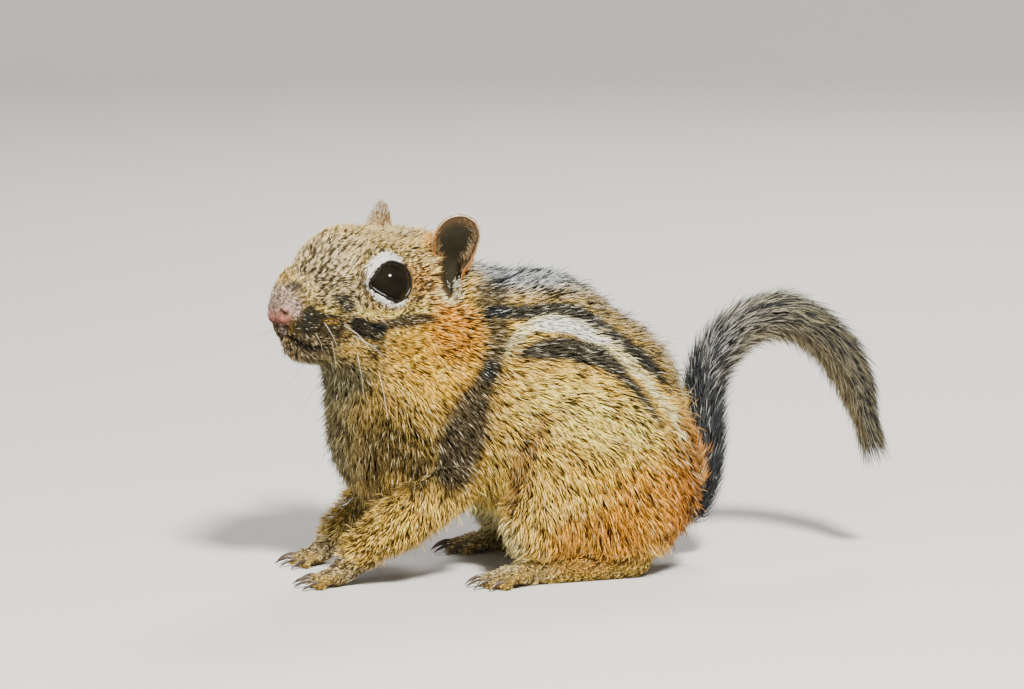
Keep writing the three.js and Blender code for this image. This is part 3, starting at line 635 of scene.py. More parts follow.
# The white ring of the eye: angle round the opening and width beyond the lid
eyeRing = {
    "widths": [(0, 0), (40, 0), (62, 0.4), (80, 0.8), (105, 1.25), (148, 2.05), (170, 1.75), (184, 0.7), (193, 0.25),
               (202, 0.5), (216, 1), (249, 1.45), (275, 1.25), (296, 0.7), (318, 0.2), (332, 0), (360, 0)],
    "soft": 0.5,
}


def swirl(points, size, seed):
    waves = np.random.default_rng(seed)
    total = np.zeros(len(points))
    for _ in range(7):
        way = unit(waves.normal(size=3)) / size * waves.uniform(0.7, 1.5)
        total += np.sin(points @ way * 2 * math.pi + waves.uniform(0, 6.28))
    return total / 2.6


def paint(colour, mask, name):
    colour += mask[:, None] * (np.array(furColours[name]) - colour)


def coatColour(points):
    onHead = toHead(points)
    face = folded(onHead)
    places = {"body": folded(points), "head": face}
    colour = np.tile(furColours["tan"], (len(points), 1))
    for place, at, half, name, strength in coatPatches:
        away = np.linalg.norm((places[place] - at) / half, axis=1)
        paint(colour, strength * (1 - smooth(0.45, 1.15, away)), name)
    for place, line, widths, soft, name, strength in coatLines:
        away = lineField(places[place], line, widths)
        paint(colour, strength * (1 - smooth(-0.3 * soft, soft, away)), name)
    # Painted shade between the toes
    low = np.flatnonzero(points[:, 2] < 6)
    between = np.zeros(len(points))
    for line in toeGaps():
        between[low] = np.maximum(between[low], 0.85 * smooth(0.55, 0.1, lineField(points[low], line)))
    paint(colour, between, "maroonShade")
    flat, out = earPlane(onHead)
    nearEar = smooth(6.5, 5, np.abs(out))
    ring = smooth(0.9, 0.4, lineField(flat, notch["line"])) * smooth(-2.4, -3.6, flat[:, 1])
    paint(colour, 0.85 * nearEar * ring, "cream")
    paint(colour, 0.97 * nearEar * smooth(0.5, 0, lineField(flat, notch["gap"], notch["gapWide"])), "black")
    away, open_, around = eyeOpening(face)
    width = np.interp(around, *zip(*eyeRing["widths"]))
    beyond = open_ * away / eyeShape["radius"] + 0.3 * swirl(points, 0.9, 51)
    ring = 1 - smooth(width - eyeRing["soft"], width + eyeRing["soft"], beyond)
    paint(colour, ring * smooth(8.8, 7.8, away) * smooth(0.1, 0.5, width), "white")
    return colour


# The skin: parts of the grid along each axis, from, to and step
skinGrid = {
    "x": [(-66, -10, 0.7), (-10, 66, 1)], "y": [(-25, 25, 0.7)], "z": [(-0.6, 6, 0.5), (6, 38, 1), (38, 76, 0.7)],
}


def gridLine(parts):
    pieces = [np.linspace(a, b, int(round((b - a) / step)) + 1) for a, b, step in parts]
    return np.unique(np.round(np.concatenate(pieces), 4))


def refined(thing, chosen):
    points = meshPoints(thing)
    work = bmesh.new()
    work.from_mesh(thing.data)
    marked = chosen(points)
    edges = [e for e in work.edges if marked[e.verts[0].index] and marked[e.verts[1].index]]
    bmesh.ops.subdivide_edges(work, edges=edges, cuts=1, use_grid_fill=True)
    work.to_mesh(thing.data)
    work.free()


def nearEyes(points):
    return np.linalg.norm(folded(toHead(points)) - eyeAt, axis=1) < 7


def onFace(points):
    q = toHead(points)
    return (q[:, 0] > -5) & (q[:, 2] > -19) & (q[:, 0] < 40) & (points[:, 0] < -25)


def makeSkin():
    points, quads = surfaceOf(skinField, *(gridLine(skinGrid[a]) for a in "xyz"))
    points = settled(skinField, points, 0.12)
    skin = makeObject("skin", points, quads)
    refined(skin, onFace)
    refined(skin, nearEyes)
    points = settled(skinField, meshPoints(skin), 0.1)
    skin.data.vertices.foreach_set("co", toScene(points).ravel())
    skin.data.update()
    skin.data.polygons.foreach_set("use_smooth", np.ones(len(skin.data.polygons), bool))
    return skin


skin = makeSkin()
print("skin:", len(skin.data.vertices), "points")


# An unwrap of the skin's own shape: every coat piece takes its tufts' places from it
def unwrap(thing):
    bpy.ops.object.select_all(action="DESELECT")
    bpy.context.view_layer.objects.active = thing
    thing.select_set(True)
    thing.data.uv_layers.new(name="OFBake")
    bpy.ops.object.mode_set(mode="EDIT")
    bpy.ops.mesh.select_all(action="SELECT")
    bpy.ops.uv.smart_project(angle_limit=math.radians(70), island_margin=0.002, area_weight=0.5)
    bpy.ops.object.mode_set(mode="OBJECT")
    thing.select_set(False)


unwrap(skin)
print("skin unwrapped")


# Triangles of the skin, to root the tufts on
def skinTriangles():
    mesh = skin.data
    mesh.calc_loop_triangles()
    count = len(mesh.loop_triangles)
    loops = np.empty(3 * count, np.int32)
    mesh.loop_triangles.foreach_get("loops", loops)
    corners = np.empty(3 * count, np.int32)
    mesh.loop_triangles.foreach_get("vertices", corners)
    uv = np.empty(2 * len(mesh.loops))
    mesh.uv_layers["OFBake"].data.foreach_get("uv", uv)
    points = meshPoints(skin)[corners].reshape(-1, 3, 3)
    return points, uv.reshape(-1, 2)[loops].reshape(-1, 3, 2)


# The lie of the coat: place and direction (forward is -X), on one side, and mirrored to the other
coatLie = [
    ((-20, 0, 62), (1, 0, -0.15)), ((-18, 8, 59), (1, 0.1, -0.2)), ((-10, 0, 62), (1, 0, 0)),
    ((-10, 14, 52), (1, 0.1, -0.12)), ((2, 0, 59), (1, 0, -0.3)), ((0, 14, 49), (1, 0.05, -0.25)),
    ((10, 0, 52), (1, 0, -0.8)), ((10, 12, 46), (1, 0.1, -0.7)), ((19, 0, 40), (0.6, 0, -1)),
    ((17, 12, 37), (0.75, 0.1, -1)), ((-12, 18, 38), (1, 0, -0.4)), ((0, 19, 40), (1, 0.1, -0.35)),
    ((-14, 17, 28), (0.9, 0, -0.6)), ((4, 21, 33), (0.8, 0.1, -0.7)), ((10, 21, 26), (0.55, 0.1, -1)),
    ((-2, 22, 24), (0.6, 0.1, -0.9)), ((4, 22, 15), (0.35, 0, -1)), ((-8, 21, 13), (0.2, 0, -1)),
    ((-12, 18, 8), (-0.5, 0, -0.8)), ((20, 17, 20), (0.4, 0, -1)), ((24, 6, 26), (0.25, 0, -1)),
    ((24, 8, 10), (0.2, 0, -1)), ((-24, 16, 46), (0.85, 0.1, -0.6)), ((-24, 17, 36), (0.7, 0, -0.8)),
    ((-30, 17, 28), (0.4, 0, -1)), ((-32, 17, 20), (-0.1, 0, -1)), ((-38, 14, 13), (-0.7, 0, -0.75)),
    ((-45, 12, 6), (-1, 0, -0.3)), ((-44, 5, 34), (0.3, 0.1, -1)), ((-45, 0, 24), (0.3, 0, -1)),
    ((-38, 6, 12), (0.6, 0, -0.7)), ((-10, 0, 3), (1, 0, 0)), ((0, 17, 1.5), (-1, 0, 0)),
    ((-14, 17, 2), (-1, 0, -0.1)), ((-24, 6, 60), (1, 0.2, -0.1)), ((-22, 12, 54), (1, 0.1, -0.35)),
]
lieAt = np.array([at for at, way in coatLie], float)
lieWay = unit([way for at, way in coatLie])
noseTip = np.array((22.8, 0, -6.0))


def coatFlow(points, normals):
    sides = folded(points)
    away = ((sides[:, None] - lieAt) ** 2).sum(2)
    weight = np.exp(-(away - away.min(1, keepdims=True)) / (2 * 6.5 ** 2))
    flow = weight @ lieWay
    flow[:, 1] *= np.sign(points[:, 1])
    flow = unit(flow)
    q = toHead(points)
    back = unit(q - noseTip)
    back[:, 2] -= 0.25 * smooth(2, -16, q[:, 2]) * smooth(8, -8, q[:, 0])
    back = unit(back @ headTurn.T)
    onSkull = smooth(-22, -11, q[:, 0]) * smooth(-27, -17, q[:, 2])
    flow = unit(flow + (back - flow) * onSkull[:, None])
    eye = fromHead(eyeAt * np.stack([np.ones(len(q)), np.where(q[:, 1] < 0, -1, 1), np.ones(len(q))], 1))
    towards = eye - points
    far = np.linalg.norm(towards, axis=1)
    towards = unit(towards - (towards * normals).sum(1, keepdims=True) * normals)
    into = np.maximum((flow * towards).sum(1), 0) * (1 - smooth(5.5, 9.5, far)) * 1.5
    flow = flow - towards * into[:, None]
    onTail = points[:, 0] > 23
    nearest = np.zeros(len(points), int)
    nearest[onTail] = ((points[onTail][:, None] - tailLine) ** 2).sum(2).argmin(1)
    flow[onTail] = tailAlong[nearest[onTail]]
    return unit(flow - (flow * normals).sum(1, keepdims=True) * normals)


# Small bright and dark clumps, the coat's ticking; in the colours they also stand for painted highlights on the clumps
# and painted shade in the gaps between them
def ticking(points):
    return 0.8 * swirl(points, 1.05, 41) + 0.45 * swirl(points, 0.55, 43)


# The coat: tufts to the square millimetre, length and width in millimetres, by region. "lift" raises places:
# frame, middle, half sizes, height. "bend" gives a tuft's middle and tip, as shares of its length and height
coat = {
    "density": {"face": 22, "headBack": 16.5, "trunk": 13.2, "leg": 11.5, "tail": 17},
    "length": {"nose": 0.6, "muzzle": 1.15, "bridge": 1.75, "eye": 0.6, "brow": 1.8, "headBack": 2.6, "trunk": 3.3,
               "haunch": 3.6, "foreleg": 1.8, "wrist": 1.5, "paw": 0.85, "sole": 0.75, "notch": 1.2},
    "width": {"face": 0.055, "headBack": 0.068, "trunk": 0.075, "tail": 0.07},
    "lift": [("head", (12, 0, 2.5), (9, 7, 5), 0.4), ("head", (4, 0, 11), (9, 8, 5), 0.5),
             ("head", (15, 0, -13), (7, 6, 4), 0.6), ("head", (5, 0, -20), (11, 9, 8), 0.9),
             ("body", (16, 0, 44), (10, 11, 9), 0.9)],
    "bend": [(0.56, 0.74), (0.97, 1.0)],
    "stand": 0.7, "stray": 0.15, "clump": 0.2, "tick": 0.3, "onPaw": 0.27, "thin": 1.0,
}


# Each point's place on the head and its share in each region
def coatRegions(points):
    onHead = toHead(points)
    skull = smooth(-24, -14, onHead[:, 0]) * smooth(-26, -17, onHead[:, 2])
    x, z = points[:, 0], points[:, 2]
    leg = np.maximum(1 - smooth(4.5, 8, z), smooth(1.5, -0.5, legField(points)) * (z < 14)) * (x < 22)
    return SimpleNamespace(onHead=onHead, face=folded(onHead), skull=skull, front=smooth(-12, 2, onHead[:, 0]) * skull,
                           leg=leg, tail=smooth(24, 26, x))


def coatLength(points):
    part = coatRegions(points)
    size = coat["length"]
    onHaunch = smooth(-8, 6, points[:, 0]) * smooth(42, 30, points[:, 2])
    length = size["trunk"] + (size["haunch"] - size["trunk"]) * onHaunch
    headLength = np.interp(part.onHead[:, 0], [-16, -6, 3, 11, 17, 20],
                           [size[name] for name in ("headBack", "headBack", "brow", "bridge", "muzzle", "nose")])
    length += (headLength - length) * part.skull
    away, open_, _ = eyeOpening(part.face)
    nearEye = (1 - smooth(0.6, 3.4, open_)) * (away < 9)
    length += (size["eye"] - length) * nearEye
    nearNotch = 1 - smooth(2, 5.5, np.linalg.norm(part.face - notch["base"], axis=1))
    length += (size["notch"] - length) * nearNotch
    legLength = np.interp(points[:, 2], [0, 3, 6, 14], [size[name] for name in ("sole", "paw", "wrist", "foreleg")])
    length += (legLength - length) * part.leg
    return length


def scatter():
    corners, uv = skinTriangles()
    cross = np.cross(corners[:, 1] - corners[:, 0], corners[:, 2] - corners[:, 0])
    area = np.linalg.norm(cross, axis=1) / 2
    middle = corners.mean(1)
    part = coatRegions(middle)
    dense = coat["density"]
    density = dense["trunk"] + (dense["headBack"] - dense["trunk"]) * part.skull
    density += (dense["face"] - density) * part.front
    density += (dense["leg"] - density) * part.leg
    density += (dense["tail"] - density) * part.tail
    away, open_, _ = eyeOpening(part.face)
    density *= (open_ > 0.1) | (away > 6.2)
    density *= noseBulk(part.face) > 0.02
    density *= middle[:, 2] > 0.35
    count = rng.poisson(area * (density * coat["thin"]))
    which = np.repeat(np.arange(len(area)), count)
    a, b = rng.random((2, len(which)))
    over = a + b > 1
    a[over], b[over] = 1 - a[over], 1 - b[over]
    share = np.stack([1 - a - b, a, b], 1)
    return (corners[which] * share[:, :, None]).sum(1), (uv[which] * share[:, :, None]).sum(1)


roots, rootUv = scatter()
rootNormal = normalsOf(skinField, roots)
print("tufts:", len(roots))


# Each tuft bends from its root over the skin to its tip, at the coat's height
def tuftPaths(points, normals):
    count = len(points)
    flow = coatFlow(points, normals)
    part = coatRegions(points)
    side = np.cross(normals, flow)
    lean = coat["clump"] * swirl(points, 5, 3) + coat["stray"] * rng.normal(size=count)
    lean += 0.1 * swirl(points, 1.6, 5)
    way = unit(flow + side * lean[:, None])
    length = coatLength(points) * rng.uniform(0.75, 1.2, count)
    depth = coatDepth(points, part.onHead)
    depth += (coat["onPaw"] - depth) * part.leg * smooth(7, 3, points[:, 2])
    places = {"body": folded(points), "head": part.face}
    for place, at, half, extra in coat["lift"]:
        depth += extra * (1 - smooth(0.4, 1.1, np.linalg.norm((places[place] - at) / half, axis=1)))
    height = np.maximum(depth, 0.16 * length) * (rng.uniform(0.85, 1.3, count) + 0.1 * swirl(points, 3, 9))
    standing = (rng.random(count) < 0.12) * rng.random(count)
    height *= (1 + coat["stand"] * standing) * (1 + coat["tick"] * ticking(points))
    onTail = part.tail > 0.5
    bent = []
    for along, up in coat["bend"]:
        place = points + way * length[:, None] * along
        value, slope = slopeOf(skinField, place)
        out = unit(slope + 0.6 * normals)
        bent.append(place + out * (up * height - np.clip(value, -4, 6))[:, None] * ~onTail[:, None])
    return bent[0], bent[1], way, length, onTail


middles, tips, ways, lengths, onTail = tuftPaths(roots, rootNormal)
print("tuft paths")


# Hairs of the tail lean out of it and end round the coat's half width, the longest as a ragged fringe
def tailPaths(points):
    nearest = ((points[:, None] - tailLine) ** 2).sum(2).argmin(1)
    share = tailShares[nearest]
    out = points - tailLine[nearest]
    out = unit(out - (out * tailAlong[nearest]).sum(1, keepdims=True) * tailAlong[nearest])
    count = len(points)
    reach = rng.uniform(5.5, 8.5, count) * (1 + 0.35 * smooth(0.75, 1, share)) / tailLength
    spread = rng.uniform(0.5, 1.0, count) + 0.32 * (rng.random(count) < 0.3) * rng.random(count) ** 1.5
    twist = rng.normal(size=count) * 0.22 + 0.2 * swirl(points, 4, 17)
    made = []
    for part, far in ((0.6, 0.72), (1, 1.0)):
        at = share + reach * part
        along = unit(np.stack([np.interp(at, tailShares, tailAlong[:, a]) for a in range(3)], 1))
        side = unit(out - (out * along).sum(1, keepdims=True) * along)
        side = unit(side + np.cross(along, side) * (twist * part)[:, None])
        place = smoothLine(tailShape["line"], at) + along * (np.maximum(at - 1, 0) * tailLength)[:, None]
        wide = np.interp(np.clip(at, 0, 1), tailShares, tailWidths) * spread * far
        made.append(place + side * wide[:, None])
    inner = unit(np.gradient(tailAlong, axis=0))[nearest]
    return made[0], made[1], share, spread, smooth(0.1, 0.9, (out * inner).sum(1)) * smooth(0.38, 0.6, share)


tailShareOf = np.zeros(len(roots))
tailSpread = np.zeros(len(roots))
tailUnder = np.zeros(len(roots))
middles[onTail], tips[onTail], tailShareOf[onTail], tailSpread[onTail], tailUnder[onTail] = tailPaths(roots[onTail])


# Tufts that would cross an eye, an ear or the nose are left out
def clearOfFace(points):
    face = folded(toHead(points))
    away, open_, _ = eyeOpening(face)
    clear = ~((open_ < -0.02) & (away < 6)) & (noseBulk(face) > -0.2)
    flat, out = earPlane(toHead(points))
    clear &= (lineField(flat, notch["gap"], notch["gapWide"]) > 0) | (np.abs(out) > 5)
    return clear & ((earHollow(toHead(points), -0.2) > -0.1) | (face[:, 0] > -4))


# By the tail's root, where two masses meet, tufts that end far from the skin are left out too
byTail = {"line": tailLine[5:25:3], "within": 8, "highest": 2}
kept = clearOfFace(tips) & clearOfFace(middles) & clearOfFace(roots)
fromTail = ((roots[:, None] - byTail["line"]) ** 2).sum(2).min(1)
around = np.flatnonzero((fromTail < byTail["within"] ** 2) & ~onTail)
kept[around] &= skinField(tips[around]) < byTail["highest"]
roots, rootUv, rootNormal = roots[kept], rootUv[kept], rootNormal[kept]
middles, tips, ways, lengths, onTail = middles[kept], tips[kept], ways[kept], lengths[kept], onTail[kept]
tailShareOf, tailSpread, tailUnder = tailShareOf[kept], tailSpread[kept], tailUnder[kept]

# Colours: dark under-hair at the root, the marking's colour with any painted shade in it, ticking that is partly
# painted highlight and shade, and single dark or frosted hairs
hair = {
    "rootShade": 0.07, "middleShade": 0.78, "vary": 0.2, "tick": 0.5, "dark": 0.1,
    "warmFrost": (0.95, 0.78, 0.40), "coldFrost": (0.82, 0.84, 0.85),
}
tailTints = {name: np.array(tint) for name, tint in {
    "root": (0.14, 0.07, 0.02), "ring": (0.02, 0.022, 0.024), "under": (0.20, 0.14, 0.055),
    "frost": (0.74, 0.73, 0.65), "underFrost": (0.88, 0.74, 0.38)}.items()}


def tailColours():
    count = onTail.sum()
    under = tailUnder[onTail][:, None]
    far = tailShareOf[onTail][:, None]
    fringe = 0.45 * smooth(0.9, 1.15, tailSpread[onTail])[:, None] * smooth(0.2, 0.45, far)
    frosted = rng.random((count, 1)) < 0.02 + fringe + 0.38 * smooth(0.36, 0.55, far)
    warm = np.maximum(under, 0.8 * smooth(0.45, 0.7, far))
    pale = tailTints["frost"] + warm * (tailTints["underFrost"] - tailTints["frost"])
    ring = tailTints["ring"] * rng.uniform(0.5, 1.8, (count, 1)) * (0.55 + 0.45 * smooth(0.15, 0.4, far))
    ring = ring + under * rng.uniform(0, 1, (count, 1)) * tailTints["under"]
    root = tailTints["root"] * rng.uniform(0.5, 1.1, (count, 1)) * (0.3 + under)
    return root, ring, np.where(frosted, pale * rng.uniform(0.6, 1.15, (count, 1)), 1.6 * ring)


def tuftColours():
    count = len(roots)
    above = rootNormal * coatDepth(roots, toHead(roots))[:, None]
    marked = coatColour(roots + ways * lengths[:, None] * 0.45 + above)
    whiteness = smooth(0.5, 0.85, marked[:, :3].min(1))
    tick = ticking(roots) * (1 - 0.8 * whiteness)
    vary = np.clip(rng.normal(size=count), -2, 2) * (1 - 0.7 * whiteness)
    tone = 1.05 + hair["vary"] * vary + hair["tick"] * tick + 0.1 * swirl(roots, 2.2, 21)
    tip = marked[:, :3] * np.maximum(tone, 0.2)[:, None]
    dark = rng.random(count) < marked[:, 3] * np.clip(1 - 1.7 * tick, 0, 2.8)
    tip[dark] *= hair["dark"]
    frost = ~dark & (rng.random(count) < marked[:, 4] * np.clip(1 + tick, 0.2, 2))
    cold = np.clip(marked[:, 2:3] / marked[:, :1], 0, 1)
    pale = np.array(hair["warmFrost"]) + cold * (np.array(hair["coldFrost"]) - hair["warmFrost"])
    tip[frost] = tip[frost] * 0.35 + 0.65 * pale[frost]
    under = np.array(furColours["lead"][:3])
    shade = hair["rootShade"] + whiteness[:, None] * (0.7 - hair["rootShade"])
    root = shade * (0.75 * tip + 0.25 * under * (1 - whiteness[:, None]))
    middle = tip * hair["middleShade"]
    root[onTail], middle[onTail], tip[onTail] = tailColours()
    return [np.clip(tint, 0.004, 0.95) for tint in (root, middle, tip)]


rootTint, middleTint, tipTint = tuftColours()


def tuftWidths():
    part = coatRegions(roots)
    wide = coat["width"]
    size = wide["trunk"] + (wide["headBack"] - wide["trunk"]) * part.skull
    size += (wide["face"] - size) * part.front
    size += (wide["headBack"] - size) * part.leg
    size += (wide["tail"] - size) * part.tail
    return size * rng.uniform(0.75, 1.25, len(roots)) * 1


widths = tuftWidths()
ringTurns = np.radians([90, 210, 330])
tuftFaces = np.array([[0, 2, 1], [0, 3, 2], [0, 1, 3], [1, 2, 4], [2, 3, 4], [3, 1, 4]])
tuftUv = np.array([(0, -1), (-1, 0), (1, 0), (0, 0.3), (0, 1)]) * 0.0015


# A tuft is a closed spindle of three sides: its root in the skin, a ring, its tip
def tuftPiece(name, root, middle, tip, normal, wide, uv, colours, sink=0.25):
    count = len(root)
    axis = unit(tip - root)
    side = unit(np.cross(axis, normal))
    rise = np.cross(side, axis)
    ring = np.cos(ringTurns)[None, :, None] * side[:, None] - 0.7 * np.sin(ringTurns)[None, :, None] * rise[:, None]
    belly = middle[:, None] + wide[:, None, None] * ring
    points = np.concatenate([(root - sink * normal)[:, None], belly, tip[:, None]], 1)
    points[:, :, 2] = np.maximum(points[:, :, 2], 0.08)
    flat = tuftFaces.ravel()
    corners = (np.arange(count)[:, None] * 5 + flat).ravel()
    mesh = bpy.data.meshes.new(name)
    mesh.vertices.add(5 * count)
    mesh.vertices.foreach_set("co", toScene(points.reshape(-1, 3)).ravel())
    mesh.loops.add(len(corners))
    mesh.loops.foreach_set("vertex_index", corners)
    mesh.polygons.add(6 * count)
    mesh.polygons.foreach_set("loop_start", np.arange(0, len(corners), 3))
    mesh.polygons.foreach_set("use_smooth", np.ones(6 * count, bool))
    layer = mesh.uv_layers.new(name="OFBake")
    layer.data.foreach_set("uv", (uv[:, None] + tuftUv[flat]).ravel())
    mesh.update(calc_edges=True)
    thing = bpy.data.objects.new(name, mesh)
    bpy.context.scene.collection.objects.link(thing)
    levels = np.stack([colours[0]] + [colours[1]] * 3 + [colours[2]], 1)
    storeColour(thing, levels.reshape(-1, 3))
    return thing


# One piece of coat for each region
def coatRegionNames():
    part = coatRegions(roots)
    side = np.where(roots[:, 1] < 0, "left", "right").astype(object)
    headSide = np.where(part.onHead[:, 1] > 0, "left", "right").astype(object)
    names = np.full(len(roots), "", object)
    x, z = roots[:, 0], roots[:, 2]
    names[:] = np.where(x < -10, "shoulder_", np.where(z > 30, "back_", "haunch_")) + side
    names[(x < -10) & (z < 27)] = "chest"
    names[(z < 10) & (x > -20) & (np.abs(roots[:, 1]) < 14)] = "belly"
    names[part.leg > 0.5] = "legs"
    skull = part.skull > 0.5
    names[skull] = "cheek_" + headSide[skull]
    front = skull & (part.front > 0.5)
    names[front & (part.onHead[:, 2] <= -3)] = "muzzle"
    upper = front & (part.onHead[:, 2] > -3)
    names[upper] = "forehead_" + headSide[upper]
    names[onTail] = "tail"
    return names


regionNames = coatRegionNames()
mostTufts = 32500
coatPieces = []
for region in sorted(set(regionNames)):
    part = np.flatnonzero(regionNames == region)
    for n, some in enumerate(np.array_split(part, math.ceil(len(part) / mostTufts))):
        label = "fur_" + region + ("" if n == 0 else "_" + str(n + 1))
        piece = tuftPiece(label, roots[some], middles[some], tips[some], rootNormal[some], widths[some], rootUv[some],
                          (rootTint[some], middleTint[some], tipTint[some]))
        coatPieces.append(piece)
print("coat:", len(roots), "tufts in", len(coatPieces), "pieces")

# The skin takes the colours of the coat over it, markings and painted shade alike
skinPoints = meshPoints(skin)
skinNormals = np.empty(3 * len(skinPoints))
skin.data.vertices.foreach_get("normal", skinNormals)
lifted = skinPoints + skinNormals.reshape(-1, 3) * coatDepth(skinPoints, toHead(skinPoints))[:, None]
skinTint = coatColour(lifted)[:, :3]
storeColour(skin, skinTint * (1 + 1.6 * smooth(0.5, 0.85, skinTint.min(1)))[:, None])


# Shader recipes: a wire is one output, and sums on wires add their own Math nodes
class Wire:
    def __init__(self, recipe, socket):
        self.recipe = recipe
        self.socket = socket

    def maths(self, operation, a, b):
        return self.recipe.add("ShaderNodeMath", {"operation": operation}, {0: a, 1: b})

    def __add__(self, other):
        return self.maths("ADD", self, other)

    def __radd__(self, other):
        return self.maths("ADD", other, self)

    def __mul__(self, other):
        return self.maths("MULTIPLY", self, other)

    def __rmul__(self, other):
        return self.maths("MULTIPLY", other, self)


class Recipe:
    def __init__(self, name):
        self.material = bpy.data.materials.new(name)
        self.material.use_nodes = True
        self.tree = self.material.node_tree
        self.tree.nodes.clear()

    def add(self, kind, settings, sockets, output=0):
        node = self.tree.nodes.new(kind)
        for key, value in settings.items():
            if key == "stops":
                while len(node.color_ramp.elements) < len(value):
                    node.color_ramp.elements.new(0.5)
                for element, (at, colour) in zip(node.color_ramp.elements, value):
                    element.position = at
                    element.color = (*colour, 1)
            else:
                setattr(node, key, value)
        for key, value in sockets.items():
            if isinstance(value, Wire):
                self.tree.links.new(value.socket, node.inputs[key])
            else:
                node.inputs[key].default_value = value
        return Wire(self, node.outputs[output])

    # The stored colour of each point, lighter or darker by a tone
    def coatTimes(self, tone):
        colour = self.add("ShaderNodeAttribute", {"attribute_name": "coat"}, {}, "Color")
        grey = self.add("ShaderNodeCombineColor", {}, {0: tone, 1: tone, 2: tone})
        return self.add("ShaderNodeMix", {"data_type": "RGBA", "blend_type": "MULTIPLY"}, {0: 1, 6: colour, 7: grey}, 2)

    def noise(self, scale, detail=3):
        place = self.add("ShaderNodeTexCoord", {}, {}, "Object")
        return self.add("ShaderNodeTexNoise", {}, {"Vector": place, "Scale": scale, "Detail": detail})

    def ramp(self, value, stops):
        return self.add("ShaderNodeValToRGB", {"stops": stops}, {"Fac": value})

    def bump(self, height, distance, strength=1):
        return self.add("ShaderNodeBump", {}, {"Height": height, "Distance": distance, "Strength": strength})

    def finished(self, sockets):
        surface = self.add("ShaderNodeBsdfPrincipled", {}, sockets)
        output = self.tree.nodes.new("ShaderNodeOutputMaterial")
        self.tree.links.new(surface.socket, output.inputs["Surface"])
        return self.material


def furFinish():
    r = Recipe("chipmunk_fur")
    tint = r.coatTimes(r.noise(900, 2) * 0.6 + 0.7)
    return r.finished({"Base Color": tint, "Roughness": 0.55, "Specular IOR Level": 0.24})


def hideFinish():
    r = Recipe("chipmunk_skin")
    streaks = r.noise(2600, 4)
    return r.finished({"Base Color": r.coatTimes(streaks * 0.4 + 0.02), "Roughness": 0.75, "Specular IOR Level": 0.25,
                       "Normal": r.bump(streaks, 0.0003)})


furMaterial = furFinish()
hideMaterial = hideFinish()
fleshNodes = ["head", "lower_jaw", "neck", "chest", "rump", "tail_1", "tail_2", "tail_3", "tail_4"]
fleshNodes += [part + "_" + side for part in ("thigh", "upper_arm", "forearm", "hand", "foot")
               for side in ("left", "right")]


def dress(thing, material, slot, *nodes):
    thing.data.materials.append(material)
    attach(thing, "root")
    if nodes:
        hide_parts(*nodes)


dress(skin, hideMaterial, "coat", *fleshNodes)
coatSlots = {"fur_tail": "tail_fur", "fur_belly": "pale_fur", "fur_chest": "pale_fur"}
for piece in coatPieces:
    dress(piece, furMaterial, coatSlots.get(piece.name, "coat"))


# Tapered round bars along a line: claws and whiskers are made of them
def bar(line, sizes, rings, round_, flat=1.0):
    shares = np.linspace(0, 1, rings + 1)
    centre = smoothLine(line, shares)
    along = unit(np.gradient(centre, axis=0))
    side = unit(np.cross(along, (0.02, 0.01, 1)))
    rise = np.cross(side, along)
    size = np.interp(shares, np.linspace(0, 1, len(sizes)), sizes)[:, None, None]
    spin = np.arange(round_) * 2 * math.pi / round_
    ring = flat * np.cos(spin)[None, :, None] * side[:, None] + np.sin(spin)[None, :, None] * rise[:, None]
    ends = [centre[:1], centre[-1:] + along[-1:] * size[-1, 0] * 0.8]
    points = np.concatenate([(centre[:, None] + size * ring).reshape(-1, 3), *ends])
    faces = []
    for j in range(round_):
        k = (j + 1) % round_
        faces.append([len(points) - 2, j, k])
        faces.append([len(points) - 1, rings * round_ + k, rings * round_ + j])
        faces += [[i * round_ + k, i * round_ + j, (i + 1) * round_ + j, (i + 1) * round_ + k]
                  for i in range(rings)]
    return points, faces


def joinedBars(name, bars):
    points, faces, start = [], [], 0
    for barPoints, barFaces in bars:
        points.append(barPoints)
        faces += [[start + v for v in f] for f in barFaces]
        start += len(barPoints)
    return makeObject(name, np.concatenate(points), faces)


# Eyes: dark and wet, a little fuller in front
eyeBall = {"rings": 40, "turns": 56, "bulge": 0.012, "bulgeAngle": 45}


def eyeWay(lean, spin):
    return np.cos(lean) * eyeOut + np.sin(lean) * (np.cos(spin) * eyeBack + np.sin(spin) * eyeUp)


def makeEye(name, side):
    rings, turns = eyeBall["rings"], eyeBall["turns"]
    points = []
    for i in range(rings + 1):
        lean = math.pi * i / rings
        bulge = 1 + eyeBall["bulge"] * math.exp(-(math.degrees(lean) / eyeBall["bulgeAngle"]) ** 2)
        for j in range(turns if 0 < i < rings else 1):
            spin = 2 * math.pi * j / turns * side
            points.append(fromHead((eyeAt + eyeShape["radius"] * bulge * eyeWay(lean, spin)) * (1, side, 1)))
    row = [0] + [1 + i * turns for i in range(rings)]
    faces = []
    for j in range(turns):
        k = (j + 1) % turns
        faces += [(0, 1 + j, 1 + k), (row[rings - 1] + k, row[rings - 1] + j, row[rings])]
        faces += [(row[i] + j, row[i + 1] + j, row[i + 1] + k, row[i] + k) for i in range(1, rings - 1)]
    return makeObject("eye_ball_" + name, np.array(points), faces)


# The dark edge of the lids, a closed round band along the opening
lidShape = {
    "lift": 0.12, "size": 0.25, "turns": 120, "round": 8, "under": 1.5,
    "corner": {"by": 0.5, "around": 189, "spread": 12},
}


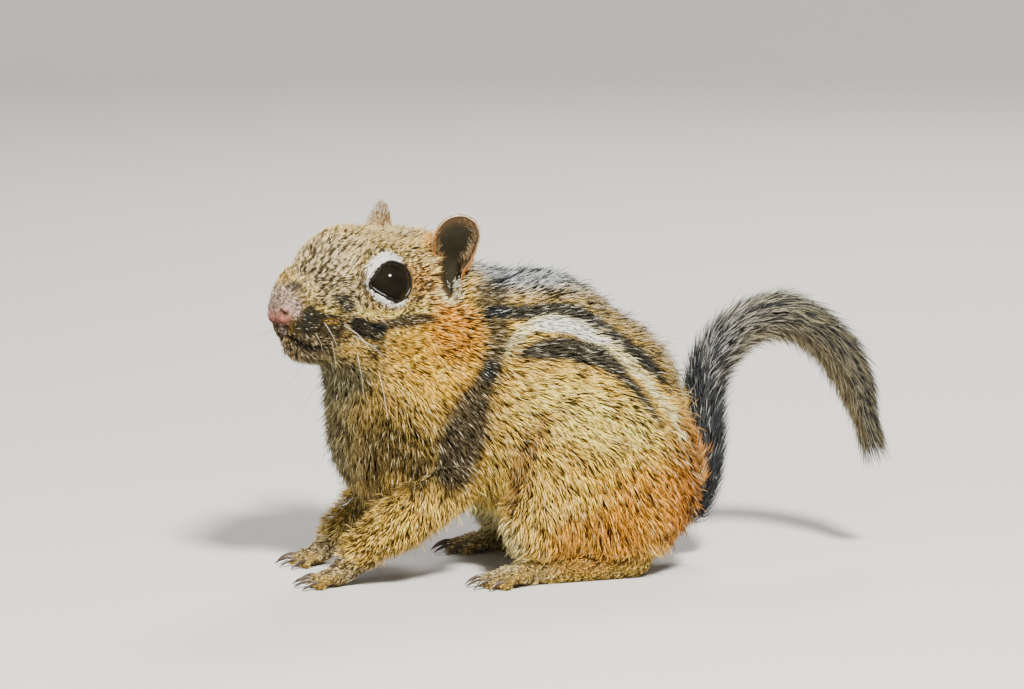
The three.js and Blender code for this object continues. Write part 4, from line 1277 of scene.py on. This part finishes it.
def makeLids(name, side):
    n, m = lidShape["turns"], lidShape["round"]
    around = np.arange(n) * 360 / n
    lean = np.radians(np.interp(around, np.arange(361), eyeLids) - lidShape["under"])[:, None]
    way = eyeWay(lean, np.radians(around)[:, None])
    along = unit(np.roll(way, -1, 0) - np.roll(way, 1, 0))
    across = np.cross(along, way)
    corner = lidShape["corner"]
    thick = 1 + corner["by"] * np.exp(-((around - corner["around"]) / corner["spread"]) ** 2)
    turned = np.arange(m) * 2 * math.pi / m
    ring = np.cos(turned)[None, :, None] * way[:, None] + np.sin(turned)[None, :, None] * across[:, None]
    middle = eyeAt + (eyeShape["radius"] + lidShape["lift"]) * way
    points = middle[:, None] + (lidShape["size"] * thick)[:, None, None] * ring
    faces = []
    for i in range(n):
        a, b = i * m, (i + 1) % n * m
        faces += [(a + j, a + (j + 1) % m, b + (j + 1) % m, b + j)[::side] for j in range(m)]
    return makeObject("eye_lids_" + name, fromHead(points.reshape(-1, 3) * (1, side, 1)), faces)


# The wet edge of the lower lid, closed thin bars whose pale bluish grey is a painted reflection: angles from and to,
# and sizes along
tearBars = [
    (191, 252, [0.03, 0.1, 0.12, 0.1, 0.08, 0.05, 0.02]), (255, 285, [0.02, 0.045, 0.02]),
    (318, 343, [0.02, 0.05, 0.06, 0.02]),
]
tearShape = {"under": 4, "lift": 0.05, "rings": 40, "round": 6}


def makeTearLine(name, side):
    bars = []
    for start, end, sizes in tearBars:
        around = np.linspace(start, end, tearShape["rings"])
        lean = np.radians(np.interp(around, np.arange(361), eyeLids) - tearShape["under"])[:, None]
        way = eyeWay(lean, np.radians(around)[:, None])
        line = fromHead((eyeAt + (eyeShape["radius"] + tearShape["lift"]) * way) * (1, side, 1))
        bars.append(bar(line, sizes, tearShape["rings"], tearShape["round"]))
    return joinedBars("eye_wet_" + name, bars)


# A painted reflection: pale bluish grey on the wet edge of the lid
def tearReflectionFinish():
    r = Recipe("chipmunk_tear_reflection")
    tint = r.ramp(r.noise(900, 3), [(0.35, (0.10, 0.11, 0.12)), (0.65, (0.42, 0.47, 0.52))])
    return r.finished({"Base Color": tint, "Roughness": 0.12})


def lidFinish():
    r = Recipe("chipmunk_lid")
    tint = r.ramp(r.noise(1400, 3), [(0.3, (0.006, 0.005, 0.004)), (0.75, (0.018, 0.014, 0.010))])
    return r.finished({"Base Color": tint, "Roughness": 0.6, "Specular IOR Level": 0.1,
                       "Normal": r.bump(r.noise(3000, 2), 0.00005, 0.5)})


def eyeFinish():
    r = Recipe("chipmunk_eye")
    tint = r.ramp(r.noise(260, 3), [(0.3, (0.003, 0.0026, 0.0016)), (0.7, (0.009, 0.0075, 0.0045))])
    return r.finished({"Base Color": tint, "Roughness": 0.06, "Specular IOR Level": 0.12})


eyeMaterial = eyeFinish()
lidMaterial = lidFinish()
tearReflectionMaterial = tearReflectionFinish()
for name, side in (("left", 1), ("right", -1)):
    eye = makeEye(name, side)
    dress(eye, eyeMaterial, "eye", "eye_" + name)
    dress(makeLids(name, side), lidMaterial, "eye")
    dress(makeTearLine(name, side), tearReflectionMaterial, "eye")


# Nose: a bare pad with nostrils at its sides and a cleft below
def noseField(points):
    face = folded(toHead(points))
    pad = melt(noseBulk(face), eggField(face, *noseShape["septum"]), 1)
    pad = carve(pad, -lineField(face, noseShape["nostril"], noseShape["hole"]), 0.3)
    return pad + 0.4 * np.exp(-(lineField(face, noseShape["cleft"]) / 0.3) ** 2)


def makeNose():
    centre = fromHead(noseShape["at"])
    axes = [np.arange(c - 4.8, c + 4.8, 0.17) for c in centre]
    points, quads = surfaceOf(noseField, *axes)
    nose = makeObject("nose_pad", settled(noseField, points, 0.05), quads)
    face = folded(toHead(meshPoints(nose)))
    top = smooth(-7.6, -4.6, face[:, 2] + 0.1 * (18.3 - face[:, 0]) + 0.5 * swirl(face, 1.6, 33))
    colour = np.array(noseShape["flush"]) + top[:, None] * (np.array(noseShape["dome"]) - noseShape["flush"])
    # Painted shade under the nose and behind its dome
    behind = smooth(18.8, 16.6, face[:, 0]) * smooth(-3.6, -5.6, face[:, 2])
    low = np.maximum(smooth(-7.2, -8.4, face[:, 2]), behind)
    colour += low[:, None] * (np.array(noseShape["under"]) - colour)
    colour *= (1 + 0.25 * swirl(face, 0.9, 35))[:, None]
    # Painted shade in the nostrils and in the cleft
    hole = 1 - smooth(0.05, 0.5, lineField(face, noseShape["nostril"], noseShape["hole"]))
    colour += 0.92 * hole[:, None] * (np.array(noseShape["holeShade"]) - colour)
    cleft = 1 - smooth(0, 0.5, lineField(face, noseShape["cleft"]))
    colour *= (1 - 0.5 * cleft)[:, None]
    storeColour(nose, colour)
    return nose


def noseFinish():
    r = Recipe("chipmunk_nose")
    pebbles = r.add("ShaderNodeTexVoronoi", {}, {"Scale": 2600})
    tint = r.coatTimes(r.noise(1500, 3) * 0.4 + 0.8)
    return r.finished({"Base Color": tint, "Roughness": 0.5, "Specular IOR Level": 0.3, "Subsurface Weight": 0.1,
                       "Subsurface Scale": 0.0005, "Normal": r.bump(pebbles, 0.00012, 0.6)})


# A velvet of very short pale hairs on the dome of the nose
noseFuzz = {
    "count": 6200, "onWing": 0.4, "length": (0.3, 0.6), "width": 0.03, "tint": (0.74, 0.60, 0.54),
    "lowTint": (0.85, 0.52, 0.44), "backTint": (0.62, 0.48, 0.34),
}


# Places on the dome and the wings, in the head's frame, thinned towards the bare parts
def fuzzPlaces(count):
    tries = 5 * count
    way = unit(rng.normal(size=(tries, 3)))
    wing = rng.random((tries, 1)) < noseFuzz["onWing"]
    wingAt, wingHalf = (np.array(v) for v in noseShape["wing"])
    wingAt = wingAt * np.where(way[:, 1:2] < 0, (1, -1, 1), (1, 1, 1))
    onDome = np.array(noseShape["at"]) + way * np.array(noseShape["half"])
    place = np.where(wing, wingAt + way * wingHalf, onDome) + 0.05 * way
    lower = smooth(19.4, 18, place[:, 0]) * smooth(-8.8, -7.4, place[:, 2])
    share = np.maximum(smooth(-8.6, -6.6, place[:, 2]), lower)
    free = (place[:, 0] > 15) & (noseBulk(folded(place)) > -0.45) & (rng.random(tries) < share)
    free &= lineField(folded(place), noseShape["nostril"]) > 0.5
    return place[free][:count]


def makeNoseFuzz():
    root = settled(noseField, fromHead(fuzzPlaces(int(noseFuzz["count"] * coat["thin"]))), 0.4, 3)
    normal = normalsOf(noseField, root)
    at = toHead(root)
    back = unit(at - noseTip) @ headTurn.T
    flow = unit(back - (back * normal).sum(1, keepdims=True) * normal + 0.25 * rng.normal(size=root.shape))
    length = rng.uniform(*noseFuzz["length"], len(root))[:, None]
    tone = rng.uniform(0.35, 1.2, (len(root), 1)) * (1 + 0.3 * swirl(root, 0.8, 37))[:, None]
    tint = np.clip(np.array(noseFuzz["tint"]) * tone, 0.02, 0.95)
    tint = tint + smooth(-4.6, -7, at[:, 2:3]) * (tint * noseFuzz["lowTint"] - tint)
    tint = tint + smooth(18.2, 16.4, at[:, 0:1]) * (tint * noseFuzz["backTint"] - tint)
    way = unit(at - noseShape["at"])
    uv = np.stack([0.5 + 0.2 * way[:, 1], 0.5 + 0.2 * way[:, 2]], 1)
    middle = root + (0.5 * flow + 0.3 * normal) * length
    tip = root + (flow + 0.42 * normal) * length
    wide = np.full(len(root), noseFuzz["width"])
    return tuftPiece("fur_nose", root, middle, tip, normal, wide, uv, (0.35 * tint, 0.8 * tint, tint), 0.04)


noseMaterial = noseFinish()
dress(makeNose(), noseMaterial, "nose_skin", "nose")
dress(makeNoseFuzz(), furMaterial, "pale_fur")
print("skin, eyes and nose dressed")


# Ears: a thin cup with a soft rim, widest at the top, that narrows to a notch
def earPlace(side):
    move = np.array(earShape["rightMove"], float) if side < 0 else np.zeros(3)
    return np.array(earShape["at"]) * (1, side, 1) + move


# Folds inside the cup: how far they stand in, the angle and its spread, how far out and its spread
earFolds = [(0.7, 318, 26, 0.6, 0.2), (0.5, 60, 40, 0.62, 0.13)]


# A point of the cup from the angle round it, how far out towards the rim, and how deep in the wall
def earPoint(around, climb, inset, side):
    flip = np.array((1, side, 1))
    degrees = np.degrees(around) % 360
    rim = np.interp(degrees, np.arange(361), earRim)
    lean = climb * math.pi / 2
    ridge = 0
    for rise, angle, spread, out, far in earFolds:
        fold = rise * np.exp(-((degrees - angle) / spread) ** 2) * np.exp(-((climb - out) / far) ** 2)
        ridge = ridge + fold * (inset > 0)
    wide = (rim - inset - ridge + 0.12 * np.sin(3 * around + 1) * climb) * np.sin(lean) ** 0.8
    deep = (earDepth(wide * np.sin(around)) - inset) * np.cos(lean)
    place = (wide * np.cos(around))[..., None] * earBack + (wide * np.sin(around))[..., None] * earUp
    return fromHead(earPlace(side) + (place - deep[..., None] * earOut) * flip)


# The cup's colours: dark in the depth as painted shade, warmer towards the rim, and a pale edge over the top
earTints = {
    "deep": (0.016, 0.013, 0.006), "flush": (0.075, 0.042, 0.018), "edge": (0.20, 0.115, 0.05),
    "lightEdge": (0.66, 0.46, 0.30), "lightAround": 92, "lightSpread": 34,
}


def earCupColour(climb, inside, degrees):
    deep, flush, edge, lightEdge = (np.array(earTints[name]) for name in ("deep", "flush", "edge", "lightEdge"))
    # Painted shade: darkest deep in the cup, lighter towards the rim
    within = deep + (flush - deep) * smooth(0.45, 1.0, climb)[:, None]
    colour = np.where(inside[:, None], within, 0.5 * np.array(furColours["brown"][:3]))
    light = np.exp(-((degrees - earTints["lightAround"]) / earTints["lightSpread"]) ** 4)[:, None]
    edge = edge + light * (lightEdge - edge)
    return colour + smooth(0.965, 1.0, climb)[:, None] * (edge - colour)


# Rows from the cup's back over the rim and down its inside: how far out, and how deep in the wall
def earRows():
    wall = earShape["wall"]
    climbs = np.linspace(0, 1, earShape["rings"] + 1)[1:]
    inner = [(c, wall * (1 - 0.35 * c ** 4)) for c in climbs[::-1]]
    return [(c, 0.0) for c in climbs] + [(1.012, 0.12), (1.015, 0.24)] + inner


def makeEar(name, side):
    rows = earRows()
    turns = earShape["turns"]
    around = np.arange(turns) * 2 * math.pi / turns
    rowPoints = [earPoint(around, np.full(turns, c), np.full(turns, inset), side) for c, inset in rows]
    poles = [earPoint(np.zeros(1), np.zeros(1), np.array([inset]), side) for inset in (0.0, earShape["wall"])]
    points = np.concatenate(rowPoints + poles)
    last = len(rows) - 1
    faces = []
    for j in range(turns):
        k = (j + 1) % turns
        faces.append([len(points) - 2, j, k])
        faces.append([len(points) - 1, last * turns + k, last * turns + j])
        faces += [[i * turns + j, (i + 1) * turns + j, (i + 1) * turns + k, i * turns + k] for i in range(last)]
    ear = makeObject("ear_cup_" + name, points, [face[::-side] for face in faces])
    climb = np.concatenate([np.repeat([c for c, inset in rows], turns), [0, 0]])
    inside = np.concatenate([np.repeat([inset > 0.2 for c, inset in rows], turns), [False, True]])
    degrees = np.degrees(np.concatenate([np.tile(around, len(rows)), [0, 0]]))
    storeColour(ear, earCupColour(climb, inside, degrees))
    return ear


def earFinish():
    r = Recipe("chipmunk_ear")
    return r.finished({"Base Color": r.coatTimes(r.noise(520, 5) * 0.7 + 0.62), "Roughness": 0.8,
                       "Specular IOR Level": 0.15, "Normal": r.bump(r.noise(1800, 3), 0.0001, 0.6)})


# Hair of the ears: short and flat on the back, a fine pale edge, a few long hairs inside, brown ones in front
earHair = {
    "outside": {"count": 3200, "climb": (0.05, 0.95), "length": (0.7, 1.3), "rise": 0.12, "width": 0.06, "inset": 0.0,
                "topTint": (0.6, 0.6, 0.57)},
    "rim": {"count": 1000, "climb": (0.95, 1.0), "length": (0.15, 0.34), "rise": 0.3, "width": 0.03, "inset": 0.1},
    "inside": {"count": 420, "climb": (0.55, 0.97), "length": (0.8, 1.8), "rise": 0.4, "width": 0.036, "inset": 0.42},
    "front": {"count": 620, "climb": (0.88, 1.0), "length": (0.7, 1.6), "rise": 0.5, "width": 0.05, "inset": 0.0},
}


# From the ear's mouth, in the head's frame, to the maker's frame
def outOfEar(flat, side):
    return ((flat[:, :1] * earBack + flat[:, 1:2] * earUp) * (1, side, 1)) @ headTurn.T


def notchHair(side):
    count = int(notch["count"] * coat["thin"])
    shares = rng.uniform(0, 0.94, count)
    inPlane = np.array((1, 1, 0))
    flat = smoothLine(notch["line"], shares) + rng.normal(size=(count, 3)) * notch["band"] * inPlane
    along = unit(smoothLine(notch["line"], shares + 0.05) - smoothLine(notch["line"], shares))
    outward = unit(flat - notch["middle"])
    run = unit(along + 0.3 * outward + 0.2 * rng.normal(size=(count, 3)) * inPlane)
    out = earOut * (1, side, 1) @ headTurn.T
    root = settled(skinField, fromHead(earPlace(side)) + outOfEar(flat, side) + 0.4 * out, 0.5, 4)
    normal = normalsOf(skinField, root)
    flow = outOfEar(run, side)
    length = rng.uniform(*notch["length"], count)[:, None]
    middle = root + (0.5 * flow + 0.25 * normal + 0.45 * out) * length
    tip = root + (flow + 0.2 * normal + 0.6 * out) * length
    tint = np.array(notch["tint"]) * rng.uniform(0.45, 1.35, (count, 1))
    uv = np.stack([0.1 + 0.8 * shares, 0.97 + 0.02 * rng.random(count)], 1)
    return root, middle, tip, normal, np.full(count, notch["width"]), uv, tint


def earHairAngles(kind, count):
    around = rng.uniform(0, 2 * math.pi, count)
    if kind == "inside":
        around = np.radians(np.where(rng.random(count) < 0.65, rng.normal(24, 24, count), rng.normal(185, 28, count)))
    if kind == "front":
        around = np.radians(rng.uniform(118, 226, count))
    return around


def earHairTint(kind, root, around, side):
    count = len(root)

    def varied(name, low, high):
        return np.array(furColours[name][:3]) * rng.uniform(low, high, (count, 1))

    if kind == "front":
        tint = 1.4 * varied("brown", 0.3, 1.6)
        some = rng.random((count, 1)) < 0.4
        return np.where(some, varied("orange", 0.7, 1.2), tint)
    if kind == "outside":
        height = (((toHead(root) - earPlace(side)) * (1, side, 1)) @ earUp)[:, None]
        tint = varied("pale", 0.35, 1.5)
        grey = np.array(earHair["outside"]["topTint"]) * rng.uniform(0.3, 1.4, (count, 1))
        tint = tint + 0.6 * smooth(3.5, 6.5, height) * (grey - tint)
        return tint + 0.85 * smooth(4, -1, height) * (varied("orange", 0.6, 1.2) - tint)
    tint = varied("cream", 0.12, 0.55)
    warm = rng.random((count, 1)) < 0.5
    tint = np.where(warm, tint * (1, 0.62, 0.42), tint * (0.9, 1, 1.5))
    front = np.exp(-((np.degrees(around) % 360 - 200) / 50) ** 4)[:, None]
    return tint + 0.8 * front * (np.array(furColours["brown"][:3]) - tint)


def earHairs(kind, hairs, side):
    count = int(hairs["count"] * coat["thin"])
    around = earHairAngles(kind, count)
    inner = kind == "inside"
    climb = np.sqrt(rng.uniform(hairs["climb"][0] ** 2, hairs["climb"][1] ** 2, count))
    insets = np.full(count, hairs["inset"])
    root = earPoint(around, climb, insets, side)
    ahead = unit(earPoint(around, climb + 0.02, insets, side) - root)
    beside = earPoint(around + 0.02, climb, insets, side) - root
    out = (earOut * (1, side, 1)) @ headTurn.T
    centre = fromHead(earPlace(side)) + 2.5 * out
    normal = unit(np.cross(ahead, beside))
    normal *= np.sign(((root - centre) * normal).sum(1, keepdims=True)) * (-1 if inner else 1)
    upward = (earUp * (1, side, 1)) @ headTurn.T
    flow = -0.25 * ahead + 0.8 * upward if inner else ahead
    flow = unit(flow + 0.22 * rng.normal(size=(count, 3)))
    if kind == "front":
        flow = unit(0.8 * unit(centre - root) + 0.5 * out + 0.2 * rng.normal(size=(count, 3)))
    length = rng.uniform(*hairs["length"], count)
    if kind == "outside":
        length *= smooth(1.08, 0.85, climb) * 0.7 + 0.3
    middle = root + (flow + 0.6 * hairs["rise"] * normal) * (0.5 * length)[:, None]
    tip = root + (flow + hairs["rise"] * normal) * length[:, None]
    tint = earHairTint(kind, root, around, side)
    across = np.mod(around / (2 * math.pi), 1) * 0.45 + (0.5 if inner else 0.02)
    uv = np.stack([across, 0.05 + climb * 0.85], 1)
    return root, middle, tip, normal, np.full(count, hairs["width"]), uv, tint


def makeEarHair(name, side):
    kinds = [earHairs(kind, hairs, side) for kind, hairs in earHair.items()] + [notchHair(side)]
    root, middle, tip, normal, wide, uv, tint = (np.concatenate(parts) for parts in zip(*kinds))
    tint = np.clip(tint, 0, 0.95)
    tints = (tint * 0.4, tint * 0.85, tint)
    return tuftPiece("fur_ear_" + name, root, middle, tip, normal, wide, uv, tints, 0.05)


earMaterial = earFinish()
for name, side in (("left", 1), ("right", -1)):
    dress(makeEar(name, side), earMaterial, "ear_skin", "ear_" + name)
    dress(makeEarHair(name, side), furMaterial, "coat")


# Claws: slim, curved and dark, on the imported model's toes. The bend gives shares of the run and a rise
clawShape = {
    "length": 3, "sizes": [0.44, 0.4, 0.29, 0.06], "tipHeight": 0.25, "flat": 0.72, "rootHeight": 1.15,
    "bend": [((0.4, 0.4, 0), 0.22), ((0.75, 0.75, 0.35), 0.05)],
}


def makeClaws(name, paw, side):
    bars = []
    for _, _, tip, aim in toeLines(paw, side):
        start = tip * (1, 1, 0) + (0, 0, clawShape["rootHeight"] * paw["toeRadius"]) - 0.4 * aim
        end = start + aim * (paw["toeRadius"] + clawShape["length"] + 0.3)
        end[2] = clawShape["tipHeight"]
        line = [start] + [start + (end - start) * share + (0, 0, rise) for share, rise in clawShape["bend"]] + [end]
        bars.append(bar(line, clawShape["sizes"], 12, 12, clawShape["flat"]))
    return joinedBars("claws_" + name, bars)


def clawFinish():
    r = Recipe("chipmunk_claw")
    tint = r.ramp(r.noise(700, 4), [(0.3, (0.03, 0.02, 0.014)), (0.75, (0.12, 0.085, 0.06))])
    return r.finished({"Base Color": tint, "Roughness": 0.34, "Coat Weight": 0.2,
                       "Normal": r.bump(r.noise(2400, 2), 0.00005, 0.5)})


clawMaterial = clawFinish()
for paw in ("hand", "foot"):
    for name, side in (("left", 1), ("right", -1)):
        node = paw + "_" + name
        claws = ["_claw_" + str(n + 1) for n in range(len(legShape[paw]["toes"]))]
        dress(makeClaws(node, legShape[paw], side), clawMaterial, "horn", *(node + c for c in claws))

# Whiskers, in the head's frame: root, how far it runs, the bend's drop
whiskers = [
    ((14.9, 6.3, -10.2), (3.3, 8.9, -2.8), 0.4), ((10.8, 6, -12.1), (3.9, 8.6, -4.8), 0.5),
    ((5.7, 7, -13.8), (3, 8.2, -8.6), 0.5), ((1.2, 7.9, -17.7), (2.1, 7.6, -8.7), 0.5),
    ((7, 7.6, -10.6), (-0.9, 10.6, -3.5), 0.5), ((8.7, 6.9, -8.5), (0.6, 10.7, -3.3), 0.6),
    ((13, 6.7, -8), (2.5, 10.8, -5.3), 0.5), ((6.8, 8.2, 5.6), (-1.5, 4.5, 6), 0.4),
    ((16.6, 2.4, -0.4), (2.5, 2.2, 4.5), 0.3),
]
whiskerSizes = [0.06, 0.05, 0.034, 0.012]
# How far from the body's middle the whiskers start to bend back, and where they stay
whiskerBend = {"start": 19.5, "end": 24.7}


def bentBack(point):
    start, end = whiskerBend["start"], whiskerBend["end"]
    beyond = max(abs(point[1]) - start, 0)
    across = min(abs(point[1]), start) + (end - start) * math.tanh(beyond / (end - start))
    return np.array((point[0], math.copysign(across, point[1]), point[2]))


def makeWhiskers():
    bars = []
    for n, (root, run, drop) in enumerate(whiskers):
        for side in (1, -1):
            flip = np.array((1, side, 1))
            start = settled(skinField, fromHead(np.array([root]) * flip), 0.6, 3)[0]
            way = np.asarray(run, float) * flip @ headTurn.T * (1 + 0.08 * math.sin(5 * n + side))
            line = [start + share * way + (0, 0, rise * drop)
                    for share, rise in ((-0.06, 0), (0.3, 0.6), (0.68, 0.55), (1, -1))]
            bars.append(bar([bentBack(point) for point in line], whiskerSizes, 14, 6))
    return joinedBars("whiskers", bars)


def whiskerFinish():
    r = Recipe("chipmunk_whisker")
    tint = r.ramp(r.noise(90, 2), [(0.42, (0.72, 0.68, 0.60)), (0.62, (0.30, 0.26, 0.2))])
    return r.finished({"Base Color": tint, "Roughness": 0.35})


dress(makeWhiskers(), whiskerFinish(), "pale_fur")
print("ears, claws and whiskers dressed")


# The camera, the floor and the lights, in metres but for the places that are in the maker's frame
studio = {
    "fov": 158.2, "azimuth": -12, "elevation": 9, "distance": 900, "aim": (-15, -5, 40), "frameRight": -9.6,
    "frameUp": 44.7, "floor": (0.58, 0.57, 0.55), "flatTo": 1, "sweep": 0.4, "wall": 0.2, "turns": 72,
}


def makeCamera():
    az = math.radians(studio["azimuth"])
    el = math.radians(studio["elevation"])
    right = np.array((math.cos(az), math.sin(az), 0))
    look = np.array((-math.sin(az) * math.cos(el), math.cos(az) * math.cos(el), -math.sin(el)))
    up = np.cross(right, look)
    place = right * studio["frameRight"] + up * studio["frameUp"]
    place = place + look * (np.array(studio["aim"]) @ look - studio["distance"])
    data = bpy.data.cameras.new("camera")
    data.lens = studio["fov"]
    data.sensor_width = 36
    data.clip_start = 0.05
    camera = bpy.data.objects.new("camera", data)
    camera.matrix_world = Matrix(np.vstack([np.column_stack([right, up, -look, toScene(place)]), (0, 0, 0, 1)]))
    bpy.context.scene.collection.objects.link(camera)
    bpy.context.scene.camera = camera


# A wide round floor that sweeps up into a low wall
def makeFloor():
    flatTo, sweep, turns = studio["flatTo"], studio["sweep"], studio["turns"]
    bend = np.linspace(0, math.pi / 2, 13)[1:]
    edge = flatTo + sweep
    radius = np.concatenate([np.linspace(0.1, flatTo, 11), flatTo + sweep * np.sin(bend), [edge, edge]])
    wall = sweep + studio["wall"] * np.array((0.5, 1))
    height = np.concatenate([np.zeros(11), sweep * (1 - np.cos(bend)), wall])
    spin = np.arange(turns) * 2 * math.pi / turns
    points = [(r * math.cos(a), r * math.sin(a), h) for r, h in zip(radius, height) for a in spin] + [(0, 0, 0)]
    faces = [(len(points) - 1, j, (j + 1) % turns) for j in range(turns)]
    for i in range(len(radius) - 1):
        a, b = i * turns, (i + 1) * turns
        faces += [(a + j, b + j, b + (j + 1) % turns, a + (j + 1) % turns) for j in range(turns)]
    mesh = bpy.data.meshes.new("floor")
    mesh.from_pydata(points, [], faces)
    mesh.polygons.foreach_set("use_smooth", np.ones(len(faces), bool))
    floor = bpy.data.objects.new("floor", mesh)
    bpy.context.scene.collection.objects.link(floor)
    floor.visible_glossy = False
    return floor


def areaLight(name, place, aim, size, power, colour, shine=False):
    data = bpy.data.lights.new(name, "AREA")
    data.shape = "DISK"
    data.size = size
    data.energy = power
    data.color = colour
    light = bpy.data.objects.new(name, data)
    light.location = place
    light.visible_glossy = shine
    light.rotation_euler = (Vector(aim) - Vector(place)).to_track_quat("-Z", "Y").to_euler()
    bpy.context.scene.collection.objects.link(light)


makeCamera()
floor = makeFloor()
areaLight("key", (0.06, -0.7, 0.8), (0, 0, 0.035), 0.17, 37, (1, 0.96, 0.88), True)
areaLight("fill", (-0.8, -0.55, 0.4), (0, 0, 0.035), 0.7, 5, (0.93, 0.96, 1))
areaLight("back", (0.35, 0.6, 0.7), (0, 0, 0.04), 0.35, 9, (1, 0.98, 0.95))
world = bpy.data.worlds.new("studio")
world.use_nodes = True
world.node_tree.nodes["Background"].inputs["Color"].default_value = (0.9, 0.93, 1, 1)
world.node_tree.nodes["Background"].inputs["Strength"].default_value = 0.24
bpy.context.scene.world = world


def floorFinish():
    r = Recipe("studio_floor")
    tint = r.ramp(r.noise(3, 3), [(0.3, tuple(0.97 * v for v in studio["floor"])), (0.7, studio["floor"])])
    return r.finished({"Base Color": tint, "Roughness": 0.8, "Specular IOR Level": 0.2})


floor.data.materials.append(floorFinish())
